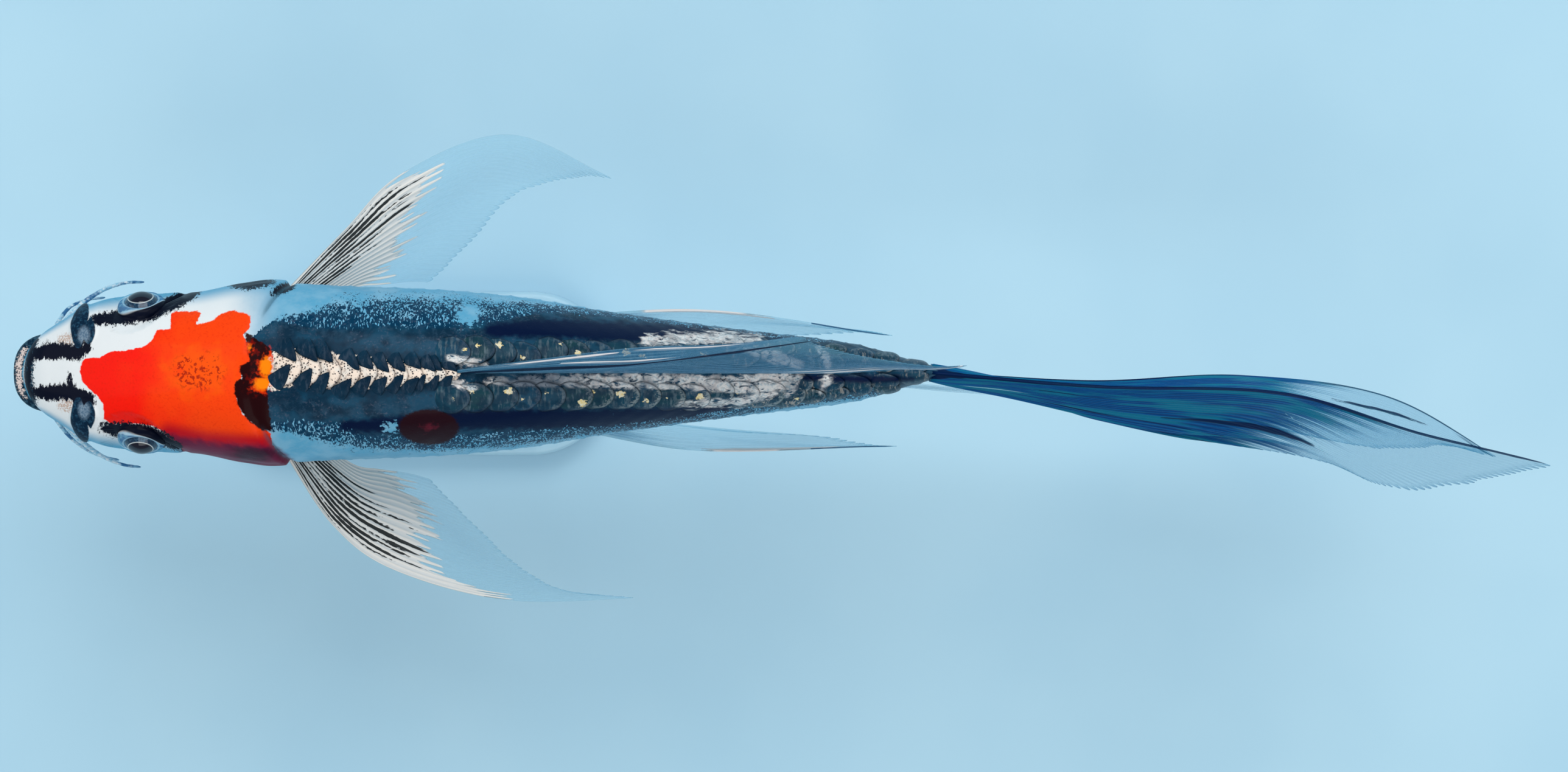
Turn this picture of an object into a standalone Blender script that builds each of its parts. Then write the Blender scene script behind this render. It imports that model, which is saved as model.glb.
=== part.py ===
"""A life-size long-finned mirror-scaled koi carp, swimming, on a plain display stand.

Metres, +Z up. The snout points to -X and the fish's left side is at -Y. The origin is
the middle of the stand's underside, on the floor. The body is one smooth loft, parted
into head, gill covers, trunk and tail stalk by thin cuts. Each fin is a fan of rays
that starts just clear of the body. The fish is laid out around its own middle, on the
body's axis, and that point stands at FISH_PLACE.
"""
import math

import bmesh
import bpy
import numpy as np
from mathutils import Matrix, Vector

MM = 0.001

# Driving dimensions, in millimetres unless a name says otherwise.
BODY_LENGTH = 216.0
SNOUT_X = -96.6
AXIS_HEIGHT = 80.0
FISH_SHIFT = 7.1
GAP = 0.3
NOSE_START = 2.8
SNOUT_ROUNDING = 6.0
SNOUT_TIP_RING = 3.1
FIN_THICKNESS = 0.6
PELVIC_LEFT_SPREAD = 8.5

# Stations along the body: distance behind the snout, then the body's size there.
HALF_WIDTH = ((0, 8.6), (6, 9.2), (11.5, 12.1), (16, 15.0), (23, 17.4), (31, 18.6), (42, 18.8),
              (54, 20.9), (61, 21.5), (76, 20.8), (97, 20.0), (118, 18.2), (139, 14.8),
              (168, 10.8), (196, 7.3), (210, 3.4), (216, 1.8))
BACK_HEIGHT = ((0, 3.6), (6, 5.4), (16, 10.8), (31, 17.2), (48, 22.2), (64, 25.8), (85, 28.8),
               (103, 29.5), (130, 27.4), (160, 22.2), (185, 17.2), (204, 14.0), (216, 13.6))
BELLY_DEPTH = ((0, 7.6), (6, 10.4), (16, 15.6), (31, 20.2), (48, 23.8), (64, 26.6), (85, 28.8),
               (108, 29.0), (135, 25.8), (160, 21.0), (185, 16.4), (204, 13.8), (216, 13.4))
# A superellipse exponent: 2 is an ellipse, and more is boxier.
SECTION_FULLNESS = ((0, 2.3), (31, 2.25), (60, 2.25), (110, 2.15), (216, 2.0))

# Where the head ends, at the nape, at the widest part and at the throat.
GILL_EDGE_NAPE = 57.0
GILL_EDGE_SIDE = 64.5
GILL_EDGE_THROAT = 46.0
GILL_EDGE_MIDDLE = 66.0
GILL_COVER_FRONT = 45.0
GILL_COVER_BULGE = 4.0
GILL_COVER_TOP_DEG = 50.0
GILL_COVER_LOW_DEG = 140.0
GILL_COVER_THICKNESS = 1.8
GILL_COVER_EDGE_INSET = 0.05
GILL_ROOM_PAST_EDGE = 2.4
CHEEK_RADIUS = 22.0
STALK_START = 168.0

EYE_RADIUS = 5.8
EYE_ALONG = 31.0
EYE_SIDE = 13.0
EYE_UP = 5.2

LIP_HALF_WIDTH = 8.5
LIP_FRONT = 1.7
LIP_CORNER = 10.5
LIP_CORNER_DROP = 4.6
LIP_RADIUS = 1.65
LIP_UPPER_Z = -2.0
LIP_LOWER_Z = -5.7
LIP_LOWER_INSET = 0.9
LIP_CORNER_SHARE = 0.55

NOSTRIL_ALONG = 17.0
NOSTRIL_SIDE = 10.8
NOSTRIL_LENGTH = 10.4
NOSTRIL_WIDTH = 4.8
NOSTRIL_THICKNESS = 1.8
NOSTRIL_ANGLE_DEG = 44.0
NOSTRIL_LEAN_DEG = 38.0
NOSTRIL_TURN_DEG = 16.0
NOSTRIL_LIFT = 0.7

BASE_LENGTH = 98.0
BASE_WIDTH = 40.0
BASE_THICKNESS = 6.0
BASE_EDGE = 1.2
ROD_RADIUS = 2.2
ROD_FRONT_X = -24.0
ROD_REAR_X = 22.0

# Room cut around a neighbour beyond the gap, for the facets of its cutter.
EYE_ROOM = 0.2
LIP_ROOM = 0.05
NOSTRIL_ROOM = 0.15
GILL_ROOM_PROUD = 2.0

# Mesh fineness.
AROUND = 36
HEAD_RINGS = 13
TRUNK_RINGS = 18
STALK_RINGS = 8
LIP_STEPS = 11
EYE_SEGMENTS = 14
EYE_RINGS = 8
TUBE_SIDES = 8
BARBEL_STEPS = 8
GILL_ROWS = 10
GILL_COLUMNS = 7
NOSTRIL_SEGMENTS = 12
NOSTRIL_RINGS = 8
ROD_SIDES = 16
BASE_END_STEPS = 14
SNOUT_RING_CROWDING = 1.6
SHARP_EDGE_DEG = 50.0

ROOT_CLEARANCE = 0.5
FISH_PLACE = Vector((FISH_SHIFT, 0.0, AXIS_HEIGHT))


# Smooth curves ------------------------------------------------------------------------

def smooth_value(stations, at):
    """Cubic through the stations that never overshoots between two of them."""
    xs = np.array([s[0] for s in stations], dtype=float)
    ys = np.array([s[1] for s in stations], dtype=float)
    steps = np.diff(xs)
    slopes = np.diff(ys) / steps
    tangents = np.concatenate(([slopes[0]], np.zeros(len(xs) - 2), [slopes[-1]]))
    for i in range(1, len(xs) - 1):
        if slopes[i - 1] * slopes[i] > 0:
            tangents[i] = 2 * slopes[i - 1] * slopes[i] / (slopes[i - 1] + slopes[i])
    at = min(max(at, xs[0]), xs[-1])
    i = min(int(np.searchsorted(xs, at, side="right")) - 1, len(xs) - 2)
    t = (at - xs[i]) / steps[i]
    keep = (1 + 2 * t) * (1 - t) ** 2 * ys[i] + t * t * (3 - 2 * t) * ys[i + 1]
    turn = t * (1 - t) ** 2 * tangents[i] - t * t * (1 - t) * tangents[i + 1]
    return keep + turn * steps[i]


def curve_point(points, t):
    """Point at t, from 0 to 1, on a Catmull-Rom curve through evenly counted points."""
    count = len(points) - 1
    place = min(max(t, 0.0), 1.0) * count
    i = min(int(place), count - 1)
    f = place - i
    before = points[i - 1] if i > 0 else 2 * points[0] - points[1]
    after = points[i + 2] if i + 2 <= count else 2 * points[count] - points[count - 1]
    a, b = points[i], points[i + 1]
    linear = b - before
    bend = 2 * before - 5 * a + 4 * b - after
    twist = 3 * (a - b) + after - before
    return a + 0.5 * (linear * f + bend * f * f + twist * f ** 3)


# The body's surface -------------------------------------------------------------------

def signed_power(value, power):
    return math.copysign(abs(value) ** power, value)


def body_point(along, angle, swell=0.0):
    """Surface point; angle 0 is the back, 90 degrees is +Y and 180 degrees is the belly."""
    nose = min(max(along - NOSE_START, 0.0) / SNOUT_ROUNDING, 1.0)
    rounding = math.sqrt(max(1.0 - (1.0 - nose) ** 2, 0.0))
    power = 2.0 / smooth_value(SECTION_FULLNESS, along)
    height = BACK_HEIGHT if math.cos(angle) > 0 else BELLY_DEPTH
    y = (smooth_value(HALF_WIDTH, along) * rounding + swell) * signed_power(math.sin(angle), power)
    z = (smooth_value(height, along) * rounding + swell) * signed_power(math.cos(angle), power)
    return FISH_PLACE + Vector((SNOUT_X + along, y, z))


def gill_edge(angle):
    """Where the head ends at this angle: the free edge of the gill cover."""
    up = max(math.cos(angle), 0.0) ** 1.5
    down = max(-math.cos(angle), 0.0) ** 1.5
    return (GILL_EDGE_SIDE - (GILL_EDGE_SIDE - GILL_EDGE_NAPE) * up
            - (GILL_EDGE_SIDE - GILL_EDGE_THROAT) * down)


# Mesh builders ------------------------------------------------------------------------

def make_object(name, verts, faces):
    mesh = bpy.data.meshes.new(name)
    mesh.from_pydata([Vector(v) * MM for v in verts], [], faces)
    mesh.validate()
    work = bmesh.new()
    work.from_mesh(mesh)
    bmesh.ops.recalc_face_normals(work, faces=work.faces)
    work.to_mesh(mesh)
    work.free()
    mesh.shade_smooth()
    mesh.set_sharp_from_angle(angle=math.radians(SHARP_EDGE_DEG))
    obj = bpy.data.objects.new(name, mesh)
    bpy.context.scene.collection.objects.link(obj)
    return obj


def ring_faces(ring_count, around):
    faces = []
    for j in range(ring_count - 1):
        near, far = j * around, (j + 1) * around
        for i in range(around):
            k = (i + 1) % around
            faces.append((near + i, near + k, far + k, far + i))
    return faces


def make_tube(name, rings, front, rear):
    """Closed solid through rings of equal count, with a fan to a point at each end."""
    around = len(rings[0])
    verts = [v for ring in rings for v in ring] + [front, rear]
    faces = ring_faces(len(rings), around)
    first = (len(rings) - 1) * around
    for i in range(around):
        k = (i + 1) % around
        faces.append((len(verts) - 2, k, i))
        faces.append((len(verts) - 1, first + i, first + k))
    return make_object(name, verts, faces)


def body_section(name, start, end, rings, middles, crowding=1.0):
    """A length of the body between two cuts, each given as a function of the angle.

    middles holds how far behind the snout the middle of the front and rear face lies.
    A crowding above 1 sets the rings closer together at the front.
    """
    made = []
    for j in range(rings):
        t = (j / (rings - 1)) ** crowding
        ring = []
        for i in range(AROUND):
            angle = 2 * math.pi * i / AROUND
            along = start(angle) + (end(angle) - start(angle)) * t
            ring.append(body_point(along, angle))
        made.append(ring)
    front, rear = (FISH_PLACE + Vector((SNOUT_X + along, 0, 0)) for along in middles)
    return make_tube(name, made, front, rear)


def sweep(name, path, radii):
    """A tube with closed ends along a path."""
    rings = []
    for j, centre in enumerate(path):
        ahead = path[min(j + 1, len(path) - 1)] - path[max(j - 1, 0)]
        ahead.normalize()
        side = ahead.cross(Vector((0, 0, 1))).normalized()
        up = side.cross(ahead)
        ring = []
        for i in range(TUBE_SIDES):
            a = 2 * math.pi * i / TUBE_SIDES
            ring.append(centre + (side * math.cos(a) + up * math.sin(a)) * radii[j])
        rings.append(ring)
    return make_tube(name, rings, path[0], path[-1])


def ellipsoid(name, centre, size, turn, segments, rings):
    work = bmesh.new()
    bmesh.ops.create_uvsphere(work, u_segments=segments, v_segments=rings, radius=0.5)
    place = Matrix.Translation(centre) @ turn.to_4x4() @ Matrix.Diagonal((*size, 1.0))
    bmesh.ops.transform(work, matrix=Matrix.Scale(MM, 4) @ place, verts=work.verts)
    mesh = bpy.data.meshes.new(name)
    work.to_mesh(mesh)
    work.free()
    mesh.shade_smooth()
    obj = bpy.data.objects.new(name, mesh)
    bpy.context.scene.collection.objects.link(obj)
    return obj


def cut_away(obj, cutter):
    """Keep a thin gap in obj around a neighbour, whose swollen copy is the cutter."""
    cutter.hide_render = True
    cutter.display_type = "WIRE"
    boolean = obj.modifiers.new("cut_" + cutter.name, "BOOLEAN")
    boolean.operation = "DIFFERENCE"
    boolean.solver = "EXACT"
    boolean.object = cutter


def fin(name, rays, across, along):
    """A thin sheet of fin, across by along faces. A guide ray is points from root to tip."""
    guides = [[Vector(p) for p in ray] for ray in rays]
    verts = []
    for i in range(across + 1):
        s = i / across
        ray = [curve_point([g[k] for g in guides], s) for k in range(len(guides[0]))]
        for j in range(along + 1):
            verts.append(curve_point(ray, j / along))
    faces = []
    for i in range(across):
        for j in range(along):
            a = i * (along + 1) + j
            faces.append((a, a + 1, a + along + 2, a + along + 1))
    sheet = make_object(name, verts, faces)
    solid = sheet.modifiers.new("thickness", "SOLIDIFY")
    solid.thickness = FIN_THICKNESS * MM
    solid.offset = 0.0
    return sheet


def placed(points):
    """Points given from the fish's middle, moved to where that stands."""
    return [FISH_PLACE + Vector(p) for p in points]


def fan_from_body(roots, shapes):
    """Guide rays that start just off the body at (distance behind snout, angle) roots."""
    rays = []
    for (along, degrees), shape in zip(roots, shapes):
        root = body_point(along, math.radians(degrees), ROOT_CLEARANCE)
        rays.append([root] + placed(shape))
    return rays


# Materials ----------------------------------------------------------------------------

def principled(name, colour, roughness, metallic=0.0, alpha=1.0):
    material = bpy.data.materials.new(name)
    material.use_nodes = True
    shader = material.node_tree.nodes["Principled BSDF"]
    shader.inputs["Base Color"].default_value = (*colour, 1.0)
    shader.inputs["Roughness"].default_value = roughness
    shader.inputs["Metallic"].default_value = metallic
    shader.inputs["Alpha"].default_value = alpha
    material.diffuse_color = (*colour, alpha)
    return material


def paint(obj, material):
    obj.data.materials.clear()
    obj.data.materials.append(material)


def red_head_skin():
    return principled("red_head_skin", (0.80, 0.06, 0.01), 0.32)


def black_white_skin():
    return principled("black_white_skin", (0.10, 0.13, 0.16), 0.30)


def gill_plate_skin():
    return principled("gill_plate_skin", (0.62, 0.66, 0.70), 0.28)


def lip_skin():
    return principled("lip_skin", (0.06, 0.08, 0.10), 0.35)


def nostril_skin():
    return principled("nostril_skin", (0.08, 0.11, 0.14), 0.40)


def barbel_skin():
    return principled("barbel_skin", (0.55, 0.66, 0.72), 0.40)


def eye_glass():
    return principled("eye_glass", (0.02, 0.02, 0.03), 0.06)


def fin_skin():
    return principled("fin_skin", (0.72, 0.76, 0.80), 0.30, alpha=0.8)


def dark_fin_skin():
    return principled("dark_fin_skin", (0.08, 0.13, 0.19), 0.32, alpha=0.9)


def stand_acrylic():
    return principled("stand_acrylic", (0.85, 0.87, 0.89), 0.18)


def stand_steel():
    return principled("stand_steel", (0.75, 0.76, 0.78), 0.25, metallic=1.0)


# The head -----------------------------------------------------------------------------

def make_head():
    middles = (NOSE_START, GILL_EDGE_MIDDLE)
    head = body_section("head", lambda angle: SNOUT_TIP_RING, gill_edge, HEAD_RINGS, middles,
                        crowding=SNOUT_RING_CROWDING)
    paint(head, red_head_skin())
    return head


def gill_cover_solid(name, side, margin, depth, proud):
    """A curved plate on the cheek; margin grows its outline and depth its thickness.

    With a margin it is the room for the cover, which runs out through the head's rear cut.
    """
    rows, columns = GILL_ROWS, GILL_COLUMNS
    wider = margin / CHEEK_RADIUS
    low = math.radians(GILL_COVER_LOW_DEG) + wider
    top = math.radians(GILL_COVER_TOP_DEG) - wider
    past_edge = GILL_ROOM_PAST_EDGE if margin > 0 else -GILL_COVER_EDGE_INSET
    sheets = []
    for swell in (proud, -depth):
        sheet = []
        for i in range(rows):
            u = i / (rows - 1)
            angle = top + (low - top) * u
            front = GILL_COVER_FRONT - GILL_COVER_BULGE * math.sin(math.pi * u) - margin
            rear = gill_edge(angle) + past_edge
            for j in range(columns):
                point = body_point(front + (rear - front) * j / (columns - 1), angle, swell)
                point.y *= side
                sheet.append(point)
        sheets.append(sheet)
    verts = sheets[0] + sheets[1]
    half = rows * columns
    faces = []
    for i in range(rows - 1):
        for j in range(columns - 1):
            a = i * columns + j
            faces.append((a, a + columns, a + columns + 1, a + 1))
            faces.append((half + a, half + a + 1, half + a + columns + 1, half + a + columns))
    rim = list(range(columns))
    rim += [i * columns + columns - 1 for i in range(1, rows)]
    rim += [(rows - 1) * columns + j for j in range(columns - 2, -1, -1)]
    rim += [i * columns for i in range(rows - 2, 0, -1)]
    for a, b in zip(rim, rim[1:] + rim[:1]):
        faces.append((a, b, half + b, half + a))
    return make_object(name, verts, faces)


def make_gill_cover(name, side, head):
    cover = gill_cover_solid(name, side, 0.0, GILL_COVER_THICKNESS, 0.0)
    paint(cover, gill_plate_skin())
    depth = GILL_COVER_THICKNESS + GAP
    cut_away(head, gill_cover_solid(name + "_room", side, GAP, depth, GILL_ROOM_PROUD))
    return cover


def make_eye(name, side, head):
    centre = FISH_PLACE + Vector((SNOUT_X + EYE_ALONG, side * EYE_SIDE, EYE_UP))
    turn = Matrix.Rotation(math.radians(-90 * side), 3, "X")
    size = 2 * EYE_RADIUS
    eye = ellipsoid(name, centre, (size, size, size), turn, EYE_SEGMENTS, EYE_RINGS)
    paint(eye, eye_glass())
    room = size + 2 * GAP + EYE_ROOM
    cutter = ellipsoid(name + "_room", centre, (room, room, room), turn, EYE_SEGMENTS, EYE_RINGS)
    cut_away(head, cutter)
    return eye


def lip_path(height, inset, points=LIP_STEPS):
    """A U round the front of the snout that drops towards the corners of the mouth."""
    path = []
    for i in range(points):
        a = math.pi * (i / (points - 1) - 0.5)
        back = (LIP_CORNER - LIP_FRONT) * (1 - math.cos(a)) ** 1.3
        drop = LIP_CORNER_DROP * (1 - math.cos(a)) ** 1.4
        x = SNOUT_X + LIP_FRONT + inset + back
        y = (LIP_HALF_WIDTH - inset) * math.sin(a)
        path.append(FISH_PLACE + Vector((x, y, height - drop)))
    return path


def make_lip(name, height, inset, head):
    path = lip_path(height, inset)
    radii = []
    for i in range(len(path)):
        fullness = math.cos(math.pi * (i / (len(path) - 1) - 0.5))
        radii.append(LIP_RADIUS * (LIP_CORNER_SHARE + (1 - LIP_CORNER_SHARE) * fullness))
    lip = sweep(name, path, radii)
    paint(lip, lip_skin())
    longer = [2 * path[0] - path[1]] + path + [2 * path[-1] - path[-2]]
    roomy = [r + GAP + LIP_ROOM for r in [radii[0]] + radii + [radii[-1]]]
    cut_away(head, sweep(name + "_room", longer, roomy))
    return lip


def make_nostril_flap(name, side, head):
    """A leaf-shaped flap that lies across the snout in front of the eye."""
    surface = body_point(NOSTRIL_ALONG, math.radians(NOSTRIL_ANGLE_DEG))
    centre = Vector((surface.x, side * NOSTRIL_SIDE, surface.z + NOSTRIL_LIFT))
    lean = Matrix.Rotation(math.radians(-NOSTRIL_LEAN_DEG * side), 3, "X")
    turn = lean @ Matrix.Rotation(math.radians(NOSTRIL_TURN_DEG * side), 3, "Z")
    size = (NOSTRIL_WIDTH, NOSTRIL_LENGTH, NOSTRIL_THICKNESS)
    flap = ellipsoid(name, centre, size, turn, NOSTRIL_SEGMENTS, NOSTRIL_RINGS)
    paint(flap, nostril_skin())
    room = tuple(s + 2 * GAP + NOSTRIL_ROOM for s in size)
    cutter = ellipsoid(name + "_room", centre, room, turn, NOSTRIL_SEGMENTS, NOSTRIL_RINGS)
    cut_away(head, cutter)
    return flap


# Name, radius at the root and at the tip, and points from the root to the tip.
BARBELS = (
    ("barbel_front_right", 0.7, 0.35,
     ((-88.4, 10.9, -9.0), (-86.0, 14.3, -12.0), (-81.7, 16.8, -15.0), (-76.7, 17.8, -17.0))),
    ("barbel_front_left", 0.7, 0.35,
     ((-88.4, -10.9, -9.0), (-85.3, -14.5, -12.0), (-79.6, -18.2, -16.0), (-73.5, -20.6, -18.0))),
    ("barbel_rear_right", 0.9, 0.4,
     ((-83.6, 14.0, -11.0), (-78.2, 18.6, -13.0), (-72.5, 21.0, -13.6), (-67.1, 21.4, -13.0))),
    ("barbel_rear_left", 0.9, 0.4,
     ((-83.6, -14.0, -11.0), (-78.9, -18.3, -13.0), (-73.2, -21.2, -13.6), (-67.9, -22.2, -13.0))))


def make_barbel(name, points, root_radius, tip_radius):
    guides = placed(points)
    path, radii = [], []
    for i in range(BARBEL_STEPS):
        t = i / (BARBEL_STEPS - 1)
        path.append(curve_point(guides, t))
        radii.append(root_radius + (tip_radius - root_radius) * t)
    barbel = sweep(name, path, radii)
    paint(barbel, barbel_skin())
    return barbel


# The trunk and the tail stalk ---------------------------------------------------------

def make_trunk():
    middles = (GILL_EDGE_MIDDLE + GAP, STALK_START)
    trunk = body_section("trunk", lambda angle: gill_edge(angle) + GAP, lambda angle: STALK_START,
                         TRUNK_RINGS, middles)
    paint(trunk, black_white_skin())
    return trunk


def make_tail_stalk():
    start = STALK_START + GAP
    stalk = body_section("tail_stalk", lambda angle: start, lambda angle: BODY_LENGTH,
                         STALK_RINGS, (start, BODY_LENGTH))
    paint(stalk, black_white_skin())
    return stalk


# The fins: guide rays from the leading edge to the last ray ------------------------------

def make_right_pectoral():
    roots = ((63.0, 112), (64.0, 118), (65.4, 124), (67.0, 130), (68.6, 135))
    shapes = (
        ((-19.9, 33.8, -15.0), (-6.4, 47.2, -17.0), (18.5, 56.4, -18.0), (43.8, 45.8, -20.0)),
        ((-17.8, 31.0, -16.0), (-4.3, 41.9, -18.0), (14.2, 49.9, -19.0), (32.7, 45.6, -21.0)),
        ((-17.1, 27.2, -17.0), (-5.0, 35.2, -20.0), (7.1, 40.9, -21.0), (19.6, 41.9, -22.0)),
        ((-17.6, 23.4, -19.0), (-8.5, 27.4, -21.0), (0.7, 30.8, -23.0), (10.2, 31.4, -24.0)),
        ((-18.6, 20.0, -20.6), (-12.4, 20.9, -22.0), (-6.2, 21.6, -24.0), (0.0, 21.4, -25.0)))
    pectoral = fin("fin_pectoral_right", fan_from_body(roots, shapes), across=7, along=12)
    paint(pectoral, fin_skin())


def make_left_pectoral():
    roots = ((63.0, 248), (64.0, 242), (65.4, 236), (67.0, 230), (68.6, 225))
    shapes = (
        ((-22.7, -36.0, -15.0), (-8.5, -46.5, -17.0), (18.5, -53.6, -18.0), (50.7, -53.6, -20.0)),
        ((-19.9, -33.7, -16.0), (-5.0, -42.5, -18.0), (13.5, -48.6, -20.0), (32.7, -51.4, -21.0)),
        ((-17.8, -29.4, -17.0), (-5.0, -35.4, -20.0), (7.8, -40.5, -22.0), (20.6, -45.1, -23.0)),
        ((-17.8, -25.2, -19.0), (-8.5, -28.2, -22.0), (0.7, -31.6, -24.0), (10.2, -36.0, -25.0)),
        ((-18.6, -21.6, -20.6), (-12.4, -22.8, -23.0), (-6.2, -23.8, -25.0), (0.0, -25.2, -26.0)))
    pectoral = fin("fin_pectoral_left", fan_from_body(roots, shapes), across=7, along=12)
    paint(pectoral, fin_skin())


def make_pelvic(name, side, spread):
    """spread turns the fin outwards, by this much at its tip."""
    roots = [(along, degrees if side > 0 else 360 - degrees)
             for along, degrees in ((108, 152), (110, 157), (112.5, 162))]
    outer = ((32.7, 13.2, -31.0), (58.3, 14.9, -33.0), (83.9, 12.9, -33.0), (112.3, 8.8, -34.0))
    middle = ((33.0, 11.0, -35.0), (56.0, 12.4, -38.4), (77.0, 11.4, -39.8), (97.0, 9.6, -40.0))
    inner = ((29.0, 8.4, -36.5), (41.5, 9.0, -41.0), (54.0, 9.2, -44.0), (68.0, 9.0, -46.0))
    shapes = []
    for points, share in ((outer, 1.0), (middle, 0.75), (inner, 0.5)):
        shapes.append([(x, side * (y + spread * share * k / 3), z)
                       for k, (x, y, z) in enumerate(points)])
    pelvic = fin(name, fan_from_body(roots, shapes), across=5, along=9)
    paint(pelvic, fin_skin())


def make_dorsal():
    roots = ((103.5, 0), (122, 0), (150, 0), (180, 0))
    shapes = (
        ((28.4, 0.9, 37.5), (49.7, 1.8, 43.0), (71.1, 4.4, 44.0), (90.5, 7.2, 41.0)),
        ((44.1, 0.7, 34.5), (62.5, 1.8, 38.5), (81.0, 3.3, 39.0), (99.5, 4.0, 36.5)),
        ((69.6, 0.3, 28.0), (85.3, 0.9, 31.0), (100.9, 1.4, 31.5), (116.5, 2.1, 29.5)),
        ((93.8, 0.1, 20.4), (105.2, 0.4, 21.8), (115.5, 1.0, 22.6), (126.5, 1.6, 22.6)))
    dorsal = fin("fin_dorsal", fan_from_body(roots, shapes), across=9, along=8)
    paint(dorsal, dark_fin_skin())


def make_anal():
    roots = ((163, 180), (170.5, 180), (178, 180))
    shapes = (
        ((81.0, -1.0, -30.0), (99.5, -2.1, -37.0), (120.8, -3.8, -41.0), (142.1, -5.5, -42.0)),
        ((87.5, -1.0, -26.4), (102.3, -2.1, -30.6), (118.0, -3.6, -33.4), (133.6, -4.5, -34.6)),
        ((93.0, -0.7, -22.0), (103.0, -1.6, -24.2), (113.7, -2.7, -26.2), (123.6, -3.8, -27.6)))
    anal = fin("fin_anal", fan_from_body(roots, shapes), across=4, along=8)
    paint(anal, fin_skin())


def tail_root(up):
    return FISH_PLACE + Vector((SNOUT_X + BODY_LENGTH + GAP, 0.0, up))


def make_upper_tail_lobe():
    shapes = (
        ((156.3, -3.3, 22.0), (199.0, -4.7, 26.0), (231.7, -14.6, 20.0), (263.3, -21.5, 9.0)),
        ((156.3, -5.0, 16.6), (196.1, -7.8, 18.6), (221.7, -17.3, 12.5), (247.3, -25.4, 4.0)),
        ((154.9, -7.2, 10.6), (190.4, -10.9, 9.8), (210.3, -18.3, 4.6), (226.0, -27.7, 0.6)),
        ((147.8, -8.4, 5.0), (174.8, -13.5, 3.4), (193.3, -15.6, 1.2), (210.3, -20.8, -0.4)),
        ((139.3, -5.3, 1.4), (156.3, -10.9, 0.4), (170.5, -14.1, -0.4), (186.2, -15.8, -1.0)))
    ups = (13.0, 10.0, 7.0, 4.0, 1.2)
    rays = [[tail_root(up)] + placed(shape) for up, shape in zip(ups, shapes)]
    lobe = fin("fin_caudal_upper", rays, across=9, along=14)
    paint(lobe, dark_fin_skin())


def make_lower_tail_lobe():
    shapes = (
        ((156.3, -2.1, -22.0), (191.9, -0.6, -27.0), (226.0, -5.6, -25.0), (253.3, -20.0, -18.0)),
        ((156.3, -3.8, -16.0), (193.3, -3.8, -19.0), (218.9, -10.9, -16.0), (241.6, -18.0, -12.0)),
        ((154.9, -5.3, -8.6), (187.6, -7.0, -10.6), (207.5, -12.4, -9.8), (226.0, -18.0, -8.4)),
        ((145.0, -5.3, -2.6), (167.7, -9.5, -4.0), (184.8, -10.9, -5.0), (201.8, -13.2, -5.4)))
    ups = (-13.0, -9.0, -5.0, -1.2)
    rays = [[tail_root(up)] + placed(shape) for up, shape in zip(ups, shapes)]
    lobe = fin("fin_caudal_lower", rays, across=8, along=14)
    paint(lobe, dark_fin_skin())


# The display stand ----------------------------------------------------------------------

def make_stand_base():
    """A flat plate with round ends and a softened upper edge."""
    radius = BASE_WIDTH / 2
    straight = BASE_LENGTH / 2 - radius
    outline = []
    for side in (1, -1):
        for i in range(BASE_END_STEPS + 1):
            a = math.pi * (i / BASE_END_STEPS - 0.5)
            outline.append((side * (straight + radius * math.cos(a)), side * radius * math.sin(a)))
    heights = ((0.0, 0.0), (0.0, BASE_THICKNESS - BASE_EDGE), (BASE_EDGE, BASE_THICKNESS))
    rings = []
    for inset, z in heights:
        shrink = 1 - inset / radius
        ring = [Vector((x - math.copysign(inset, x) if abs(x) > straight else x, y * shrink, z))
                for x, y in outline]
        rings.append(ring)
    base = make_tube("stand_base", rings, Vector((0, 0, 0)), Vector((0, 0, BASE_THICKNESS)))
    paint(base, stand_acrylic())


def make_stand_rod(name, x):
    foot = BASE_THICKNESS + GAP
    top = AXIS_HEIGHT - smooth_value(BELLY_DEPTH, x - FISH_SHIFT - SNOUT_X) - GAP
    rings = []
    for z in (foot, top):
        ring = []
        for i in range(ROD_SIDES):
            a = 2 * math.pi * i / ROD_SIDES
            ring.append(Vector((x + ROD_RADIUS * math.cos(a), ROD_RADIUS * math.sin(a), z)))
        rings.append(ring)
    rod = make_tube(name, rings, Vector((x, 0, foot)), Vector((x, 0, top)))
    paint(rod, stand_steel())


def gather_under_empty():
    """Parent every piece to one empty at the origin, so the model moves as a whole."""
    holder = bpy.data.objects.new("koi", None)
    bpy.context.scene.collection.objects.link(holder)
    for obj in bpy.data.objects:
        if obj is not holder:
            obj.parent = holder


def main():
    for obj in list(bpy.data.objects):
        bpy.data.objects.remove(obj, do_unlink=True)
    head = make_head()
    for name, side in (("right", 1), ("left", -1)):
        make_gill_cover("gill_cover_" + name, side, head)
        make_eye("eye_" + name, side, head)
        make_nostril_flap("nostril_flap_" + name, side, head)
    make_lip("lip_upper", LIP_UPPER_Z, 0.0, head)
    make_lip("lip_lower", LIP_LOWER_Z, LIP_LOWER_INSET, head)
    for name, root_radius, tip_radius, points in BARBELS:
        make_barbel(name, points, root_radius, tip_radius)
    make_trunk()
    make_tail_stalk()
    make_right_pectoral()
    make_left_pectoral()
    make_pelvic("fin_pelvic_right", 1, 0.0)
    make_pelvic("fin_pelvic_left", -1, PELVIC_LEFT_SPREAD)
    make_dorsal()
    make_anal()
    make_upper_tail_lobe()
    make_lower_tail_lobe()
    make_stand_base()
    make_stand_rod("stand_rod_front", ROD_FRONT_X)
    make_stand_rod("stand_rod_rear", ROD_REAR_X)
    gather_under_empty()


main()
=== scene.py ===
import math

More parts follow.
